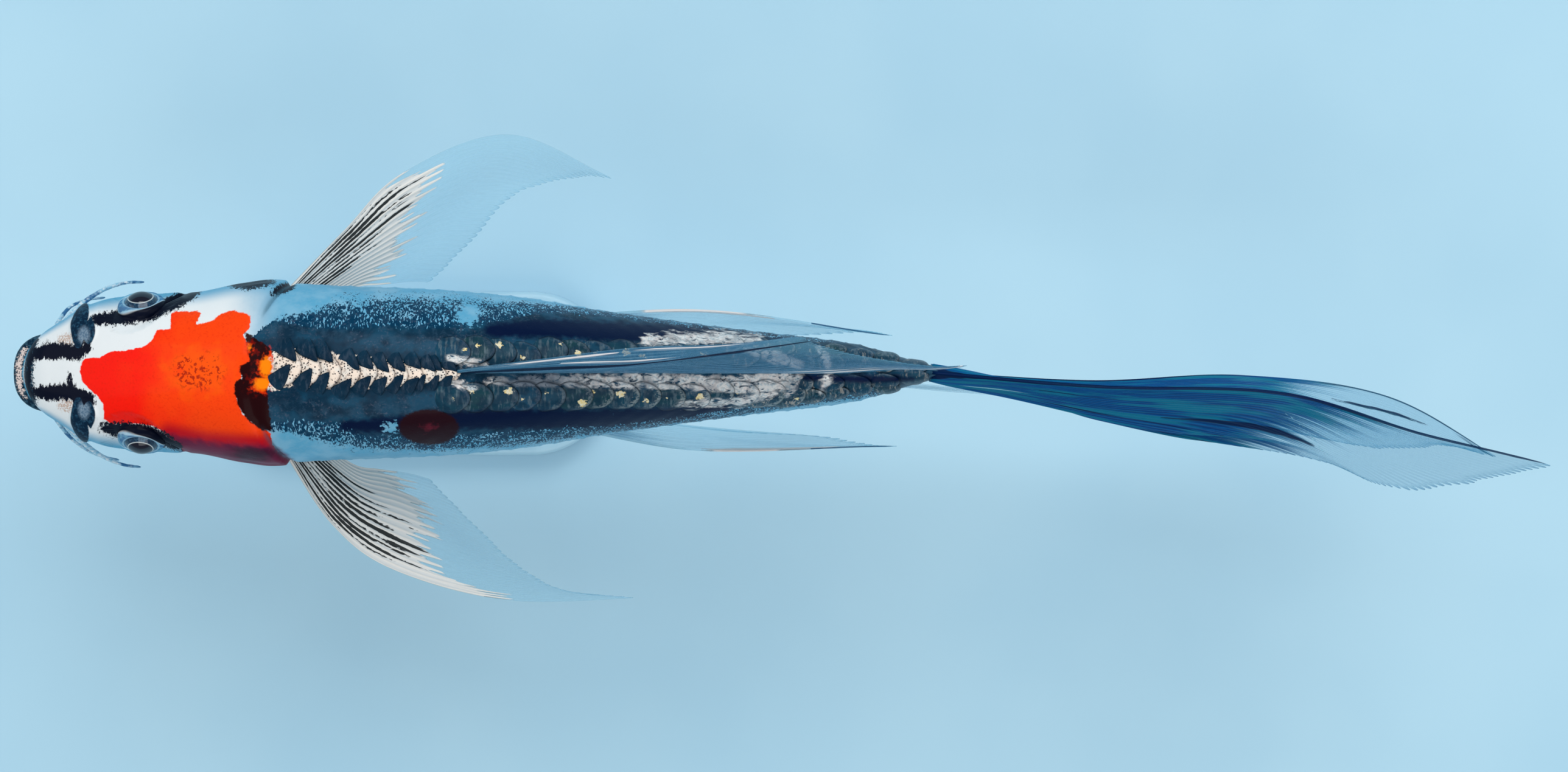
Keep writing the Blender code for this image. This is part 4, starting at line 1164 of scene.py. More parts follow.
class Coat:
    """Collects the scales of one piece, each a thin closed lens on the body."""

    def __init__(self, name):
        self.name = name
        self.points, self.faces, self.uv, self.fields = [], [], [], {}
        self.count = 0
        self.random = np.random.default_rng(SEED + len(name))

    def add(self, along, across, heading, length, width, lift, point, glint=0.0, lobe=0.0, white=0.0,
            banded=0.0, pale_rim=0.0):
        """A scale rooted here, growing along heading: 0 is to the tail, 90 degrees to +Y."""
        heading += self.random.normal(0, 0.05)
        length *= self.random.uniform(0.94, 1.06)
        rho = np.linspace(0, 1, SCALE_RINGS + 1)[1:]
        phi = full_turn(SCALE_SIDES)
        wavy = 1 + 0.03 * np.sin(phi * 5 + self.random.uniform(0, 6)) + 0.02 * np.sin(phi * 9)
        reach = 0.5 - 0.5 * np.cos(phi)
        side = 0.5 * np.sin(phi) * (1 - point * reach ** 2) * wavy
        # v runs from root to tip, u from side to side, and edge from the middle to the rim
        v = np.append(SCALE_MIDDLE, SCALE_MIDDLE + rho[:, None] * (reach - SCALE_MIDDLE))
        u = np.append(0.0, rho[:, None] * side)
        edge = np.append(0.0, np.repeat(rho, SCALE_SIDES))

        forward, aside = v * length, u * width
        spot_along = along + math.cos(heading) * forward - math.sin(heading) * aside
        spot_across = across + math.sin(heading) * forward + math.cos(heading) * aside
        angle = angle_at(spot_along, spot_across)
        sunk = 0.8 * (1 - v) ** 3 + 1.6 * lobe * (1 - v) ** 2
        crown = (0.35 - 0.22 * lobe) * (1 - (2 * u) ** 2) * (1 - edge ** 3)
        rise = lift * v ** 1.4 - 0.30 - sunk + crown
        ribs = 0.05 * np.sin(30 * np.arctan2(u, v - SCALE_MIDDLE)) * edge * (1 - edge)
        thick = 0.16 * (1 - edge ** 4) + 0.03
        top = body_points(spot_along, angle, rise + thick + ribs)
        inner = len(top) - SCALE_SIDES
        self.points += [top, body_points(spot_along, angle, rise - thick)[:inner]]
        self.faces += lens_faces(self.count, self.count + len(top))
        self.count += len(top) + inner

        u, v, edge = (np.append(values, values[:inner]) for values in (u, v, edge))
        root_u, root_v = unrolled(along, angle_at(along, across), BAKE_SNOUT)
        self.uv.append(np.stack((root_u + BAKE_PATCH * (v - 0.5), root_v + BAKE_PATCH * u), axis=1))
        tone = self.random.uniform(0, 1)
        # where this scale's painted glint lies
        spot_v, spot_u = self.random.uniform(0.45, 0.85), self.random.uniform(-0.25, 0.25)
        far = np.hypot((v - spot_v) * length, (u - spot_u) * width * 1.3)
        shine = np.clip(glint - far, -FIELD_LIMIT, FIELD_LIMIT) if glint > 0 else -FIELD_LIMIT
        fields = {"plate": edge, "reached": v, "glint": shine, "white": white, "tone": tone,
                  "banded": banded, "pale_rim": pale_rim, "lobe": lobe}
        for name, values in fields.items():
            self.fields.setdefault(name, []).append(np.broadcast_to(values, len(v)))

    def finish(self, look):
        mesh = bpy.data.meshes.new(self.name)
        mesh.from_pydata((np.concatenate(self.points) * MM).tolist(), [], self.faces)
        mesh.shade_smooth()
        coat = link(self.name, mesh)
        mark(mesh)
        for name, parts in self.fields.items():
            set_field(mesh, name, np.concatenate(parts))
        set_bake_map(mesh, np.concatenate(self.uv)[corner_vertices(mesh)])
        mesh.materials.append(look)
        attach(coat, "root")


def make_ridge_scales(look):
    """White scales down the back in front of the dorsal fin, with dark lobes reaching over them."""
    ridge, lobes = Coat("scales_ridge"), Coat("scales_shoulder")
    middle_line = [(along, across) for along, across, _ in RIDGE_LINE]
    half_widths = [(along, half) for along, _, half in RIDGE_LINE]
    for i in reversed(range(RIDGE_SCALES)):
        t = i / (RIDGE_SCALES - 1)
        waist = 67.4 + 5.1 * i - 0.14 * i * i
        line = float(smooth_values(middle_line, waist))
        half = float(smooth_values(half_widths, waist))
        for side in (1, -1):
            slant = math.radians(50 - 8 * t)
            length = (10.2 - 3.0 * t) * lobes.random.uniform(0.94, 1.06)
            # the first lobe on the left reaches just past the middle
            reach = -0.2 if i == 0 and side < 0 else (1.0 - 0.4 * t) * lobes.random.uniform(0.5, 1.4)
            tip = waist + lobes.random.normal(0.9 * side * (1 - t), 0.35)
            root_across = line + side * (reach + length * math.sin(slant))
            lobes.add(tip - length * math.cos(slant), root_across, -side * slant, length, 5.4 - 1.5 * t,
                      lift=1.15 - 0.35 * t, point=0.62, lobe=1.0)
        pitch = 5.1 - 0.26 * i
        ridge.add(waist - pitch * 1.1, line, 0.0, pitch * 1.5, 2.3 * half, lift=0.65, point=0.35, white=1.0)
    lobes.finish(look)
    ridge.finish(look)


def make_back_scales(look):
    """Rows beside the dorsal fin's base."""
    coat = Coat("scales_back")
    for side, start, end, count, across, length, width, pale_rim in BACK_ROWS:
        for i in reversed(range(count)):
            t = i / (count - 1)
            along, narrow = start + (end - start) * t, 1 - 0.14 * t
            glint = coat.random.uniform(0.2, 1.1)
            coat.add(along, across * narrow + coat.random.normal(0, 0.25), -side * 0.12, length,
                     width * narrow, lift=0.65, point=0.15, glint=glint,
                     pale_rim=pale_rim * smooth_step(108, 140, along))
    coat.finish(look)


def make_stalk_scales(look):
    """Large dark scales on the tail stalk."""
    coat = Coat("scales_stalk")
    for side, start, end, count, first, last, length, width in STALK_ROWS:
        for i in reversed(range(count)):
            t = i / (count - 1)
            coat.add(start + (end - start) * t, first + (last - first) * t, -side * 0.10,
                     length * (1 - 0.15 * t), width * (1 - 0.35 * t), lift=0.6, point=0.2,
                     banded=1.0 - 0.5 * t, pale_rim=0.8 - 0.6 * t)
    coat.finish(look)


# The fins -----------------------------------------------------------------------------
# Guide rays go from the leading edge to the last ray. Each starts inside the body and
# runs through points that are counted from the fish's middle.

ROOT_DEPTH = 1.4
STALK_ROOT_DEPTH = 1.5
FIN_STEPS = 110
RAY_STEPS = 10
FIN_SWAY = 0.5
FIN_RAGGED = 0.05           # share of their length that the rays' tips differ by
PAINT_LIMIT = 30.0

PECTORAL_ROOTS = ((63.0, 112), (64.0, 118), (65.4, 124), (67.0, 130), (68.6, 135))
PECTORAL_RIGHT = (
    ((-19.9, 33.8, -15.0), (-6.4, 47.2, -17.0), (18.5, 56.4, -18.0), (43.8, 45.8, -20.0)),
    ((-17.8, 31.0, -16.0), (-4.3, 41.9, -18.0), (14.2, 49.9, -19.0), (32.7, 45.6, -21.0)),
    ((-17.1, 27.2, -17.0), (-5.0, 35.2, -20.0), (7.1, 40.9, -21.0), (19.6, 41.9, -22.0)),
    ((-17.6, 23.4, -19.0), (-8.5, 27.4, -21.0), (0.7, 30.8, -23.0), (10.2, 31.4, -24.0)),
    ((-18.6, 20.0, -20.6), (-12.4, 20.9, -22.0), (-6.2, 21.6, -24.0), (0.0, 21.4, -25.0)))
PECTORAL_LEFT = (
    ((-22.7, -36.0, -15.0), (-8.5, -46.5, -17.0), (18.5, -53.6, -18.0), (50.7, -53.6, -20.0)),
    ((-19.9, -33.7, -16.0), (-5.0, -42.5, -18.0), (13.5, -48.6, -20.0), (32.7, -51.4, -21.0)),
    ((-17.8, -29.4, -17.0), (-5.0, -35.4, -20.0), (7.8, -40.5, -22.0), (20.6, -45.1, -23.0)),
    ((-17.8, -25.2, -19.0), (-8.5, -28.2, -22.0), (0.7, -31.6, -24.0), (10.2, -36.0, -25.0)),
    ((-18.6, -21.6, -20.6), (-12.4, -22.8, -23.0), (-6.2, -23.8, -25.0), (0.0, -25.2, -26.0)))
PELVIC_ROOTS = ((108, 152), (110, 157), (112.5, 162))
PELVIC = (
    ((32.7, 13.2, -31.0), (58.3, 14.9, -33.0), (83.9, 12.9, -33.0), (112.3, 8.8, -34.0)),
    ((33.0, 11.0, -35.0), (56.0, 12.4, -38.4), (77.0, 11.4, -39.8), (97.0, 9.6, -40.0)),
    ((29.0, 8.4, -36.5), (41.5, 9.0, -41.0), (54.0, 9.2, -44.0), (68.0, 9.0, -46.0)))
PELVIC_STIFFNESS = (3, 4, 6)    # the higher, the less that guide ray spreads
DORSAL_ROOTS = ((102.5, 0), (104.5, 0), (122, 0), (150, 0), (180, 0))
DORSAL = (
    ((28.4, 2.8, 33.5), (49.7, 5.3, 38.5), (71.1, 6.6, 40.0), (88.5, 7.6, 39.0)),
    ((28.4, 0.9, 37.5), (49.7, 1.8, 43.0), (71.1, 4.4, 44.0), (90.5, 7.2, 41.0)),
    ((44.1, 0.7, 34.5), (62.5, 1.8, 38.5), (81.0, 3.3, 39.0), (99.5, 4.0, 36.5)),
    ((69.6, 0.3, 28.0), (85.3, 0.9, 31.0), (100.9, 1.4, 31.5), (116.5, 2.1, 29.5)),
    ((93.8, 0.1, 20.4), (105.2, 0.4, 21.8), (115.5, 1.0, 22.6), (126.5, 1.6, 22.6)))
ANAL_ROOTS = ((163, 180), (170.5, 180), (178, 180))
ANAL = (
    ((81.0, -1.0, -30.0), (99.5, -2.1, -37.0), (120.8, -3.8, -41.0), (142.1, -5.5, -42.0)),
    ((87.5, -1.0, -26.4), (102.3, -2.1, -30.6), (118.0, -3.6, -33.4), (133.6, -4.5, -34.6)),
    ((93.0, -0.7, -22.0), (103.0, -1.6, -24.2), (113.7, -2.7, -26.2), (123.6, -3.8, -27.6)))
CAUDAL_UPPER_ROOTS = (13.0, 10.0, 7.0, 4.0, 1.2)
CAUDAL_UPPER = (
    ((156.3, -3.3, 22.0), (199.0, -4.7, 26.0), (231.7, -14.6, 20.0), (263.3, -21.5, 9.0)),
    ((156.3, -5.0, 16.6), (196.1, -7.8, 18.6), (221.7, -17.3, 12.5), (247.3, -25.4, 4.0)),
    ((154.9, -7.2, 10.6), (190.4, -10.9, 9.8), (210.3, -18.3, 4.6), (226.0, -27.7, 0.6)),
    ((147.8, -8.4, 5.0), (174.8, -13.5, 3.4), (193.3, -15.6, 1.2), (210.3, -20.8, -0.4)),
    ((139.3, -5.3, 1.4), (156.3, -10.9, 0.4), (170.5, -14.1, -0.4), (186.2, -15.8, -1.0)))
CAUDAL_LOWER_ROOTS = (-13.0, -9.0, -5.0, -1.2)
CAUDAL_LOWER = (
    ((156.3, -2.1, -22.0), (191.9, -0.6, -27.0), (226.0, -5.6, -25.0), (253.3, -20.0, -18.0)),
    ((156.3, -3.8, -16.0), (193.3, -3.8, -19.0), (218.9, -10.9, -16.0), (241.6, -18.0, -12.0)),
    ((154.9, -5.3, -8.6), (187.6, -7.0, -10.6), (207.5, -12.4, -9.8), (226.0, -18.0, -8.4)),
    ((145.0, -5.3, -2.6), (167.7, -9.5, -4.0), (184.8, -10.9, -5.0), (201.8, -13.2, -5.4)))


def guide_rays(roots, shapes):
    return np.array([[root] + [FISH_MIDDLE + point for point in shape] for root, shape in zip(roots, shapes)])


def from_body(roots, shapes, side=1):
    """Guide rays that start under the skin at (along, degrees)."""
    return guide_rays([body_points(along, math.radians(side * degrees), -ROOT_DEPTH)
                       for along, degrees in roots], shapes)


def from_stalk(ups, shapes):
    """Guide rays that start inside the stalk's end, this far up."""
    end = BODY_LENGTH - STALK_ROOT_DEPTH
    return guide_rays([np.array(SNOUT) + (end, 0.0, up) for up in ups], shapes)


def pelvic(side, spread):
    """Guide rays of a pelvic fin whose tips lie up to spread further out."""
    shapes = [[(x, side * (y + spread * k / stiffness), z) for k, (x, y, z) in enumerate(shape)]
              for shape, stiffness in zip(PELVIC, PELVIC_STIFFNESS)]
    return from_body(PELVIC_ROOTS, shapes, side)


def band_field(distance, s, width, bands):
    """How far inside bands that follow the rays, each a list of (millimetres out, s, half width)."""
    best = np.full(distance.shape, -FIELD_LIMIT)
    for band in bands:
        out, line, half = np.transpose(band)
        inside = np.interp(distance, out, half, left=-FIELD_LIMIT, right=-FIELD_LIMIT)
        best = np.maximum(best, inside - np.abs(s - np.interp(distance, out, line)) * width)
    return best


def web_faces(rows, columns):
    """Faces of a sheet's top and underside, joined round the rim."""
    size = rows * columns
    faces = grid_faces(rows, columns) + flipped(grid_faces(rows, columns, first=size))
    place = np.arange(size).reshape(rows, columns)
    rim = np.concatenate((place[0], place[1:, -1], place[-1, -2::-1], place[-2:0:-1, 0])).tolist()
    return faces + [(a, b, b + size, a + size) for a, b in zip(rim, rim[1:] + rim[:1])]


def make_fin(node, guides, look, rays, fork, painted, seed, dark=(), light=(), streaked=None,
             fleshy=0.0):
    """A closed thin web, thick along its rays, which fork at fork of their length.

    painted and streaked are (s, millimetres) stations: how far out the fin is painted.
    fleshy is how thick the web starts out at its root, in millimetres to each side.
    """
    random = np.random.default_rng(seed)
    s = np.linspace(0, 1, rays * RAY_STEPS + 1)
    t = np.linspace(0, 1, FIN_STEPS + 1)
    at_ray = s * rays
    uneven = np.interp(at_ray, np.arange(rays + 2) - 0.5, random.uniform(0, 1, rays + 2))
    notch = np.abs(np.sin(math.pi * at_ray * 2)) ** 0.6
    tip = 1 - FIN_RAGGED * (0.45 * uneven + 0.55 * (1 - notch))
    at = tip * t[:, None]
    surface = np.empty((len(t), len(s), 3))
    for j, ray in enumerate(curve_points(guides, s)):
        surface[:, j] = curve_points(ray, at[:, j])
    normal = np.cross(np.gradient(surface, axis=0), np.gradient(surface, axis=1))
    normal /= np.maximum(np.linalg.norm(normal, axis=2, keepdims=True), 1e-9)
    outwards = np.linalg.norm(np.diff(surface, axis=0), axis=2)
    distance = np.concatenate((np.zeros((1, len(s))), np.cumsum(outwards, axis=0)))
    width = np.linalg.norm(np.diff(surface, axis=1), axis=2).sum(axis=1)[:, None]

    forked = smooth_step(fork - 0.06, fork + 0.10, at)
    single = 0.5 + 0.5 * np.cos(2 * math.pi * at_ray)
    double = 0.5 - 0.5 * np.cos(4 * math.pi * at_ray)
    crest = (1 - forked) * single ** 2 + forked * double ** 2
    half = 0.10 + 0.20 * crest * (1 - 0.55 * at)
    half += 0.12 * np.exp(-(at_ray / 0.7) ** 2) * (1 - 0.7 * at)
    half *= 0.35 + 0.65 * smooth_step(0, 0.03, 1 - t)[:, None]
    inner = smooth_step(0, 0.35, s) * (1 - 0.5 * smooth_step(0.8, 1, s))
    half += fleshy * np.exp(-(distance / 16) ** 2) * inner
    turns = at * 1.7 + s * 1.3 + random.uniform(0, 1)
    middle = surface + normal * (FIN_SWAY * np.sin(2 * math.pi * turns) * at ** 1.5)[..., None]
    thick = normal * half[..., None]
    verts = np.concatenate(((middle + thick).reshape(-1, 3), (middle - thick).reshape(-1, 3)))
    fin = make_object(node + "_rays", verts, web_faces(len(t), len(s)))

    mesh = fin.data
    s_grid = np.broadcast_to(s, distance.shape)
    painted_to = smooth_values(painted, s) - distance
    streaked_to = smooth_values(streaked or painted, s) - distance
    fields = {
        "ray": s_grid * rays, "reach": at / tip, "crest": crest, "distance": distance,
        "paint": np.clip(painted_to, -PAINT_LIMIT, PAINT_LIMIT),
        "streaked": np.clip(streaked_to, -PAINT_LIMIT, PAINT_LIMIT),
        "shade": band_field(distance, s_grid, width, dark),
        "light": band_field(distance, s_grid, width, light)}
    for name, values in fields.items():
        set_field(mesh, name, np.tile(values.ravel(), 2))
    u = np.concatenate([start + 0.47 * s_grid.ravel() for start in (0.01, 0.52)])
    v = 0.01 + 0.98 * np.tile(np.repeat(t, len(s)), 2)
    set_bake_map(mesh, np.stack((u, v), axis=1)[corner_vertices(mesh)])
    mesh.materials.append(look)
    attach(fin, "root")
    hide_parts(node)


def make_paired_fins():
    look = fin_look(
        "koi_pectoral", ((0.80, 0.78, 0.73), (0.72, 0.73, 0.71)), ((0.32, 0.62, 0.78), (0.20, 0.53, 0.72)),
        (0.82, 0.80, 0.76), (0.008, 0.012, 0.014), 0.98, 0.14, teeth=4.8, streaks=0.97)
    make_fin(
        "fin_pectoral_right", from_body(PECTORAL_ROOTS, PECTORAL_RIGHT), look, 17, 0.62,
        ((0.0, 36), (0.12, 46), (0.35, 37), (0.6, 29), (0.8, 23), (1.0, 17)), 3,
        streaked=((0.0, 14), (0.05, 34), (0.16, 38), (0.3, 31), (0.45, 23), (0.6, 12), (0.72, 0.0),
                  (1.0, -9)))
    make_fin(
        "fin_pectoral_left", from_body(PECTORAL_ROOTS, PECTORAL_LEFT, side=-1), look, 17, 0.62,
        ((0.0, 64), (0.06, 64), (0.14, 48), (0.35, 41), (0.6, 36), (0.8, 29), (1.0, 22)), 4,
        streaked=((0.0, 4), (0.06, 32), (0.16, 40), (0.34, 36), (0.55, 26), (0.7, 14), (0.82, 0.0),
                  (1.0, -9)))
    look = fin_look(
        "koi_pelvic", ((0.30, 0.56, 0.70), (0.11, 0.38, 0.56)), ((0.24, 0.58, 0.76), (0.16, 0.52, 0.72)),
        (0.84, 0.76, 0.72), (0.010, 0.070, 0.170), 0.55, 0.18, soft=6.0)
    for name, side, spread, start, seed in (("right", 1, 0.0, 38.0, 5), ("left", -1, 8.5, 54.0, 6)):
        make_fin(
            "fin_pelvic_" + name, pelvic(side, spread), look, 9, 0.55, ((0.0, 44), (1.0, 26)), seed,
            dark=(((80.0, 0.0, 0.2), (90.0, 0.0, 0.9), (106.0, 0.0, 0.9)),),
            light=(((start, 0.02, 0.4), (start + 8.0, 0.03, 2.6), (start + 24.0, 0.03, 2.2),
                    (start + 34.0, 0.01, 0.3)),))


def make_single_fins():
    look = fin_look(
        "koi_dorsal", ((0.130, 0.320, 0.480), (0.030, 0.150, 0.280)),
        ((0.16, 0.36, 0.50), (0.10, 0.30, 0.44)), (0.82, 0.76, 0.74), (0.001, 0.006, 0.030), 0.50, 0.34,
        soft=5.0)
    make_fin(
        "fin_dorsal", from_body(DORSAL_ROOTS, DORSAL), look, 22, 0.6, ((0.0, 80), (1.0, 60)), 7,
        dark=(((0.0, 0.25, 3.4), (24.0, 0.25, 2.8), (48.0, 0.25, 2.0), (110.0, 0.25, 1.1)),
              ((4.0, 0.12, 0.3), (28.0, 0.13, 0.5), (50.0, 0.12, 0.2))),
        # the first three light bands are painted glints along the front rays; the last two are pale streaks
        # on the rear rays
        light=(((8.0, 0.02, 0.3), (18.0, 0.04, 1.8), (34.0, 0.05, 1.6), (42.0, 0.05, 0.2)),
               ((44.0, 0.03, 0.2), (54.0, 0.03, 1.4), (66.0, 0.04, 1.2), (74.0, 0.05, 0.2)),
               ((28.0, 0.15, 0.2), (36.0, 0.16, 1.3), (46.0, 0.18, 1.2), (56.0, 0.19, 0.2)),
               ((8.0, 0.96, 0.5), (22.0, 0.95, 1.4), (42.0, 0.96, 1.1), (60.0, 0.97, 0.5)),
               ((10.0, 0.84, 0.2), (30.0, 0.86, 0.9), (52.0, 0.90, 0.5))))
    look = fin_look(
        "koi_anal", ((0.62, 0.70, 0.74), (0.40, 0.58, 0.70)), ((0.50, 0.66, 0.76), (0.28, 0.56, 0.72)),
        (0.70, 0.76, 0.78), (0.020, 0.090, 0.160), 0.70, 0.20, soft=5.0)
    make_fin("fin_anal", from_body(ANAL_ROOTS, ANAL), look, 8, 0.55, ((0.0, 32), (1.0, 20)), 8)
    look = fin_look(
        "koi_caudal", ((0.001, 0.100, 0.300), (0.000, 0.046, 0.180), (0.003, 0.190, 0.290)),
        ((0.020, 0.230, 0.440), (0.050, 0.330, 0.540)), (0.34, 0.66, 0.78), (0.000, 0.009, 0.055),
        0.97, 0.16, soft=8.0, teeth=9.0)
    make_fin(
        "fin_caudal_upper", from_stalk(CAUDAL_UPPER_ROOTS, CAUDAL_UPPER), look, 26, 0.5,
        ((0.0, 106), (0.15, 98), (0.5, 86), (1.0, 76)), 9, fleshy=1.8,
        dark=(((0.0, 0.0, 2.6), (60.0, 0.0, 3.2), (96.0, 0.01, 3.0), (126.0, 0.0, 1.8), (156.0, 0.0, 0.8)),
              ((24.0, 0.30, 0.2), (54.0, 0.32, 0.9), (84.0, 0.33, 0.2)),
              ((20.0, 0.62, 0.2), (46.0, 0.66, 1.0), (70.0, 0.70, 0.3)),
              ((54.0, 0.60, 0.6), (70.0, 0.56, 3.6), (82.0, 0.52, 4.4), (92.0, 0.50, 0.8)),
              ((30.0, 0.92, 0.2), (50.0, 0.95, 1.8), (70.0, 0.97, 0.3))),
        light=(((76.0, 0.20, 0.3), (86.0, 0.36, 0.8), (96.0, 0.54, 0.8), (108.0, 0.75, 0.4)),
               ((6.0, 0.45, 0.1), (16.0, 0.46, 0.5), (30.0, 0.48, 0.1)),
               ((4.0, 0.80, 0.1), (14.0, 0.80, 0.5), (26.0, 0.80, 0.1))))
    make_fin(
        "fin_caudal_lower", from_stalk(CAUDAL_LOWER_ROOTS, CAUDAL_LOWER), look, 22, 0.5,
        ((0.0, 94), (0.4, 84), (1.0, 70)), 10, fleshy=1.8,
        dark=(((0.0, 0.0, 2.0), (60.0, 0.0, 1.8), (100.0, 0.0, 0.9), (140.0, 0.0, 0.4)),
              ((30.0, 0.45, 0.2), (58.0, 0.48, 0.9), (80.0, 0.50, 0.2)),
              ((96.0, 0.20, 0.2), (104.0, 0.17, 1.5), (114.0, 0.13, 1.6), (122.0, 0.10, 0.2)),
              ((128.0, 0.02, 0.3), (136.0, 0.03, 1.5), (146.0, 0.02, 1.5))),
        light=(((84.0, 0.60, 0.1), (100.0, 0.64, 0.6), (116.0, 0.70, 0.1)),))


# Eyes and barbels ---------------------------------------------------------------------

GLOBE_RADIUS = EYE_RADIUS - 0.12
GLOBE_RINGS = 56
GLOBE_SIDES = 72
CORNEA_REACH = math.radians(42)
CORNEA_BULGE = 0.42
BARBEL_SIDES = 20
# Radius at the root and the tip, then points from the fish's middle.
BARBELS = {
    "barbel_front_right": (0.60, 0.26, (
        (-88.0, 9.4, -8.2), (-86.6, 12.6, -10.4), (-84.4, 15.6, -13.4), (-80.8, 17.2, -15.6),
        (-76.7, 17.8, -17.0))),
    "barbel_front_left": (0.60, 0.26, (
        (-88.0, -9.4, -8.2), (-86.2, -12.8, -10.4), (-83.0, -16.6, -14.4), (-78.4, -19.4, -16.8),
        (-73.5, -20.6, -18.0))),
    "barbel_rear_right": (0.74, 0.28, (
        (-85.6, 11.6, -9.6), (-81.6, 16.2, -12.0), (-76.6, 19.6, -13.4), (-71.6, 21.2, -13.6),
        (-67.1, 21.4, -13.0))),
    "barbel_rear_left": (0.74, 0.28, (
        (-85.6, -11.6, -9.6), (-81.8, -16.0, -12.0), (-77.0, -19.6, -13.4), (-72.2, -21.6, -13.6),
        (-67.9, -22.2, -13.0)))}


def eye_globe(name, side):
    """A globe with a bulging cornea, turned to face out and up."""
    axis, centre = eye_axis(side), eye_centre(side)
    turned = np.linspace(0, math.pi, GLOBE_RINGS + 2)[1:-1]
    bulge = np.where(turned < CORNEA_REACH, np.cos(turned / CORNEA_REACH * math.pi / 2), 0)
    spin = full_turn(GLOBE_SIDES)
    turn = np.array(Vector(axis).to_track_quat("Z", "X").to_matrix()).T
    rings = []
    for a, r in zip(turned, GLOBE_RADIUS + CORNEA_BULGE * bulge):
        ring = np.stack((math.sin(a) * np.cos(spin), math.sin(a) * np.sin(spin),
                         np.full(GLOBE_SIDES, math.cos(a))), axis=1)
        rings.append(r * ring @ turn + centre)
    verts, faces = tube_data(rings)
    verts[-2] = centre + axis * (GLOBE_RADIUS + CORNEA_BULGE)
    verts[-1] = centre - axis * GLOBE_RADIUS
    eye = make_object(name, verts, faces)
    from_eye = vertex_points(eye.data) - centre
    depth = from_eye @ axis
    off = np.sqrt(np.maximum((from_eye ** 2).sum(1) - depth ** 2, 0))
    set_field(eye.data, "off_axis", np.where(depth > 0, off, 9.0))
    return eye


def make_eyes():
    look = eye_look()
    for name, side in (("right", 1), ("left", -1)):
        eye = eye_globe("eye_globe_" + name, side)
        eye.data.materials.append(look)
        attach(eye, "root")
        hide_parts("eye_" + name)


def make_barbels():
    look = barbel_look()
    t = np.linspace(0, 1, 60)
    ending = np.sqrt(np.clip((1.02 - t) / 0.06, 0.15, 1))
    for node, (root, tip, points) in BARBELS.items():
        lumps = 1 + 0.05 * np.sin(t * 60) + 0.04 * np.sin(t * 23 + root * 9)
        radii = (root + (tip - root) * t ** 0.8) * lumps * ending
        path = curve_points(FISH_MIDDLE + np.array(points), t)
        verts, faces = tube_data(sweep_rings(path, radii, BARBEL_SIDES))
        barbel = make_object(node + "_flesh", verts, faces)
        set_field(barbel.data, "reach", np.append(np.repeat(t, BARBEL_SIDES), (0.0, 1.0)))
        barbel.data.materials.append(look)
        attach(barbel, "root")
        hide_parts(node)


# The stand ----------------------------------------------------------------------------

PLATE_EDGE = 1.4            # radius of the plate's rounded upper edge
POST_SIDES = 64
# Radii as shares of the rod's, with heights above the plate and from the rod's top.
POST_FOOT = ((2.0, 0.0), (2.0, 1.6), (1.85, 2.1), (1.3, 2.5), (1.0, 3.2))
POST_HEAD = ((1.0, -4.2), (1.25, -3.4), (1.8, -1.4), (1.95, -0.2), (1.8, 0.5), (0.9, 1.0))


def turned_object(name, rings, look):
    """A closed piece through rings, with its edges kept crisp."""
    piece = make_object(name, *tube_data(rings))
    piece.data.set_sharp_from_angle(angle=math.radians(40))
    piece.data.materials.append(look)
    return piece


def plate_rings(low, high):
    """Rings of a plate with round ends and a groove round its top."""
    radius = (high.y - low.y) / 2
    straight = (high.x - low.x) / 2 - radius
    turns = np.linspace(-math.pi / 2, math.pi / 2, 49)
    insets = [(0.35, low.z), (0.0, low.z + 0.35)]
    insets += [(PLATE_EDGE * (1 - math.cos(a)), high.z - PLATE_EDGE * (1 - math.sin(a)))
               for a in np.linspace(0, math.pi / 2, 8)]
    insets += [(PLATE_EDGE + 2.4, high.z), (PLATE_EDGE + 2.9, high.z - 0.35), (PLATE_EDGE + 3.4, high.z)]
    rings = []
    for inset, z in insets:
        r = radius - inset
        right = np.stack((straight + r * np.cos(turns), r * np.sin(turns), np.full(len(turns), z)), axis=1)
        rings.append(np.concatenate((right, right * (-1, -1, 1))))
    return rings


def post_rings(low, high, foot):
    x, y, radius = (low.x + high.x) / 2, (low.y + high.y) / 2, (high.x - low.x) / 2
    profile = [(share, foot + up) for share, up in POST_FOOT]
    profile += [(share, high.z + up) for share, up in POST_HEAD]
    turns = full_turn(POST_SIDES)
    return [np.stack((x + radius * share * np.cos(turns), y + radius * share * np.sin(turns),
                      np.full(POST_SIDES, z)), axis=1) for share, z in profile]


def make_stand():
    plate_look, steel = stand_plate_look(), stand_steel_look()
    low, high = (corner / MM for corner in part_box("stand_base"))
    plate = turned_object("stand_plate", plate_rings(low, high), plate_look)
    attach(plate, "root")
    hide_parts("stand_base")
    for name in ("front", "rear"):
        rod_low, rod_high = (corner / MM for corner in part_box("stand_rod_" + name))
        rod = turned_object("stand_post_" + name, post_rings(rod_low, rod_high, high.z - 0.3), steel)
        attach(rod, "root")
        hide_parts("stand_rod_" + name)


# Floor, lights and camera -------------------------------------------------------------

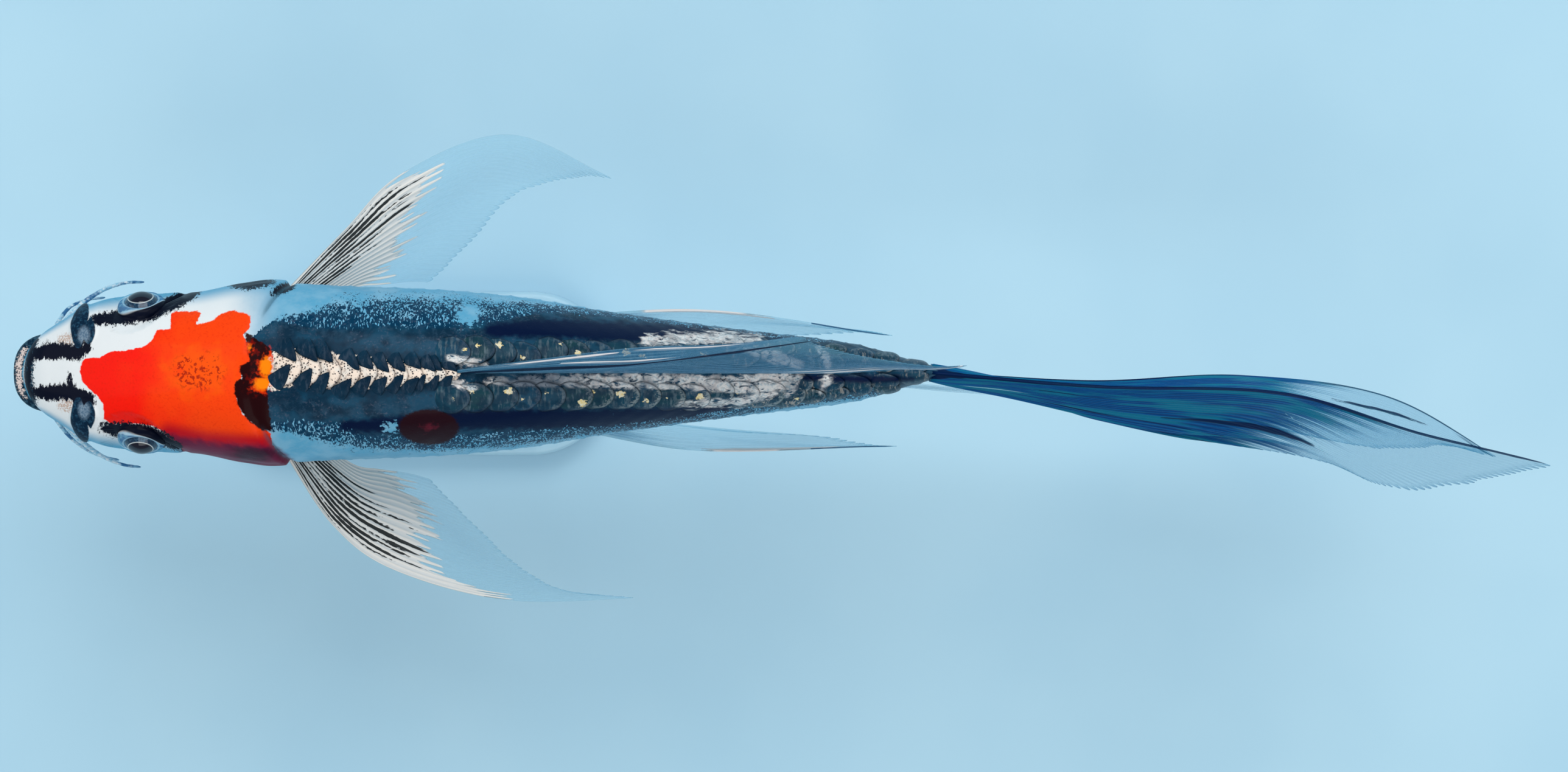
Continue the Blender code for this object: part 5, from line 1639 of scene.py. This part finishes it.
VIEW_WIDTH = 0.3661
VIEW_CENTRE = (0.0907, -0.0031)
LENS = 150.0
SENSOR = 36.0
FLOOR_HALF = 2.5
LAMP_SIZE = 1.2
# Place from the middle of the view in metres, and watts.
LAMPS = {
    "key": ((0.05, 0.90, 1.15), 14.5), "fill": ((0.05, -1.05, 0.95), 7.5),
    "head": ((-1.15, 0.15, 0.75), 4.0), "tail": ((1.25, 0.20, 0.85), 4.0)}


def make_stage():
    mesh = bpy.data.meshes.new("floor")
    corners = [(x * FLOOR_HALF, y * FLOOR_HALF, 0) for x, y in ((-1, -1), (1, -1), (1, 1), (-1, 1))]
    mesh.from_pydata(corners, [], [(0, 1, 2, 3)])
    mesh.materials.append(floor_look())
    floor = link("floor", mesh)
    floor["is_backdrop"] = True

    aim = Vector((VIEW_CENTRE[0], 0.0, SNOUT.z * MM))
    for name, (offset, power) in LAMPS.items():
        data = bpy.data.lights.new(name, "AREA")
        data.size = LAMP_SIZE
        data.energy = power
        lamp = link(name, data)
        lamp.location = aim + Vector(offset)
        lamp.rotation_euler = (-Vector(offset)).to_track_quat("-Z", "Y").to_euler()

    world = bpy.data.worlds.new("studio")
    world.use_nodes = True
    backdrop = world.node_tree.nodes["Background"]
    backdrop.inputs["Color"].default_value = (0.90, 0.95, 1.0, 1.0)
    backdrop.inputs["Strength"].default_value = 0.32
    bpy.context.scene.world = world

    data = bpy.data.cameras.new("camera")
    data.lens = LENS
    data.sensor_width = SENSOR
    data.clip_end = 20.0
    camera = link("camera", data)
    camera.location = (*VIEW_CENTRE, SNOUT.z * MM + VIEW_WIDTH * LENS / SENSOR)
    bpy.context.scene.camera = camera
    bpy.context.scene.view_settings.view_transform = "Standard"


def main():
    make_skin()
    scales = scale_look()
    make_ridge_scales(scales)
    make_back_scales(scales)
    make_stalk_scales(scales)
    make_paired_fins()
    make_single_fins()
    make_eyes()
    make_barbels()
    make_stand()
    make_stage()


main()
[[list(corner) for corner in box] for box in (CAD_BOX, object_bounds())]
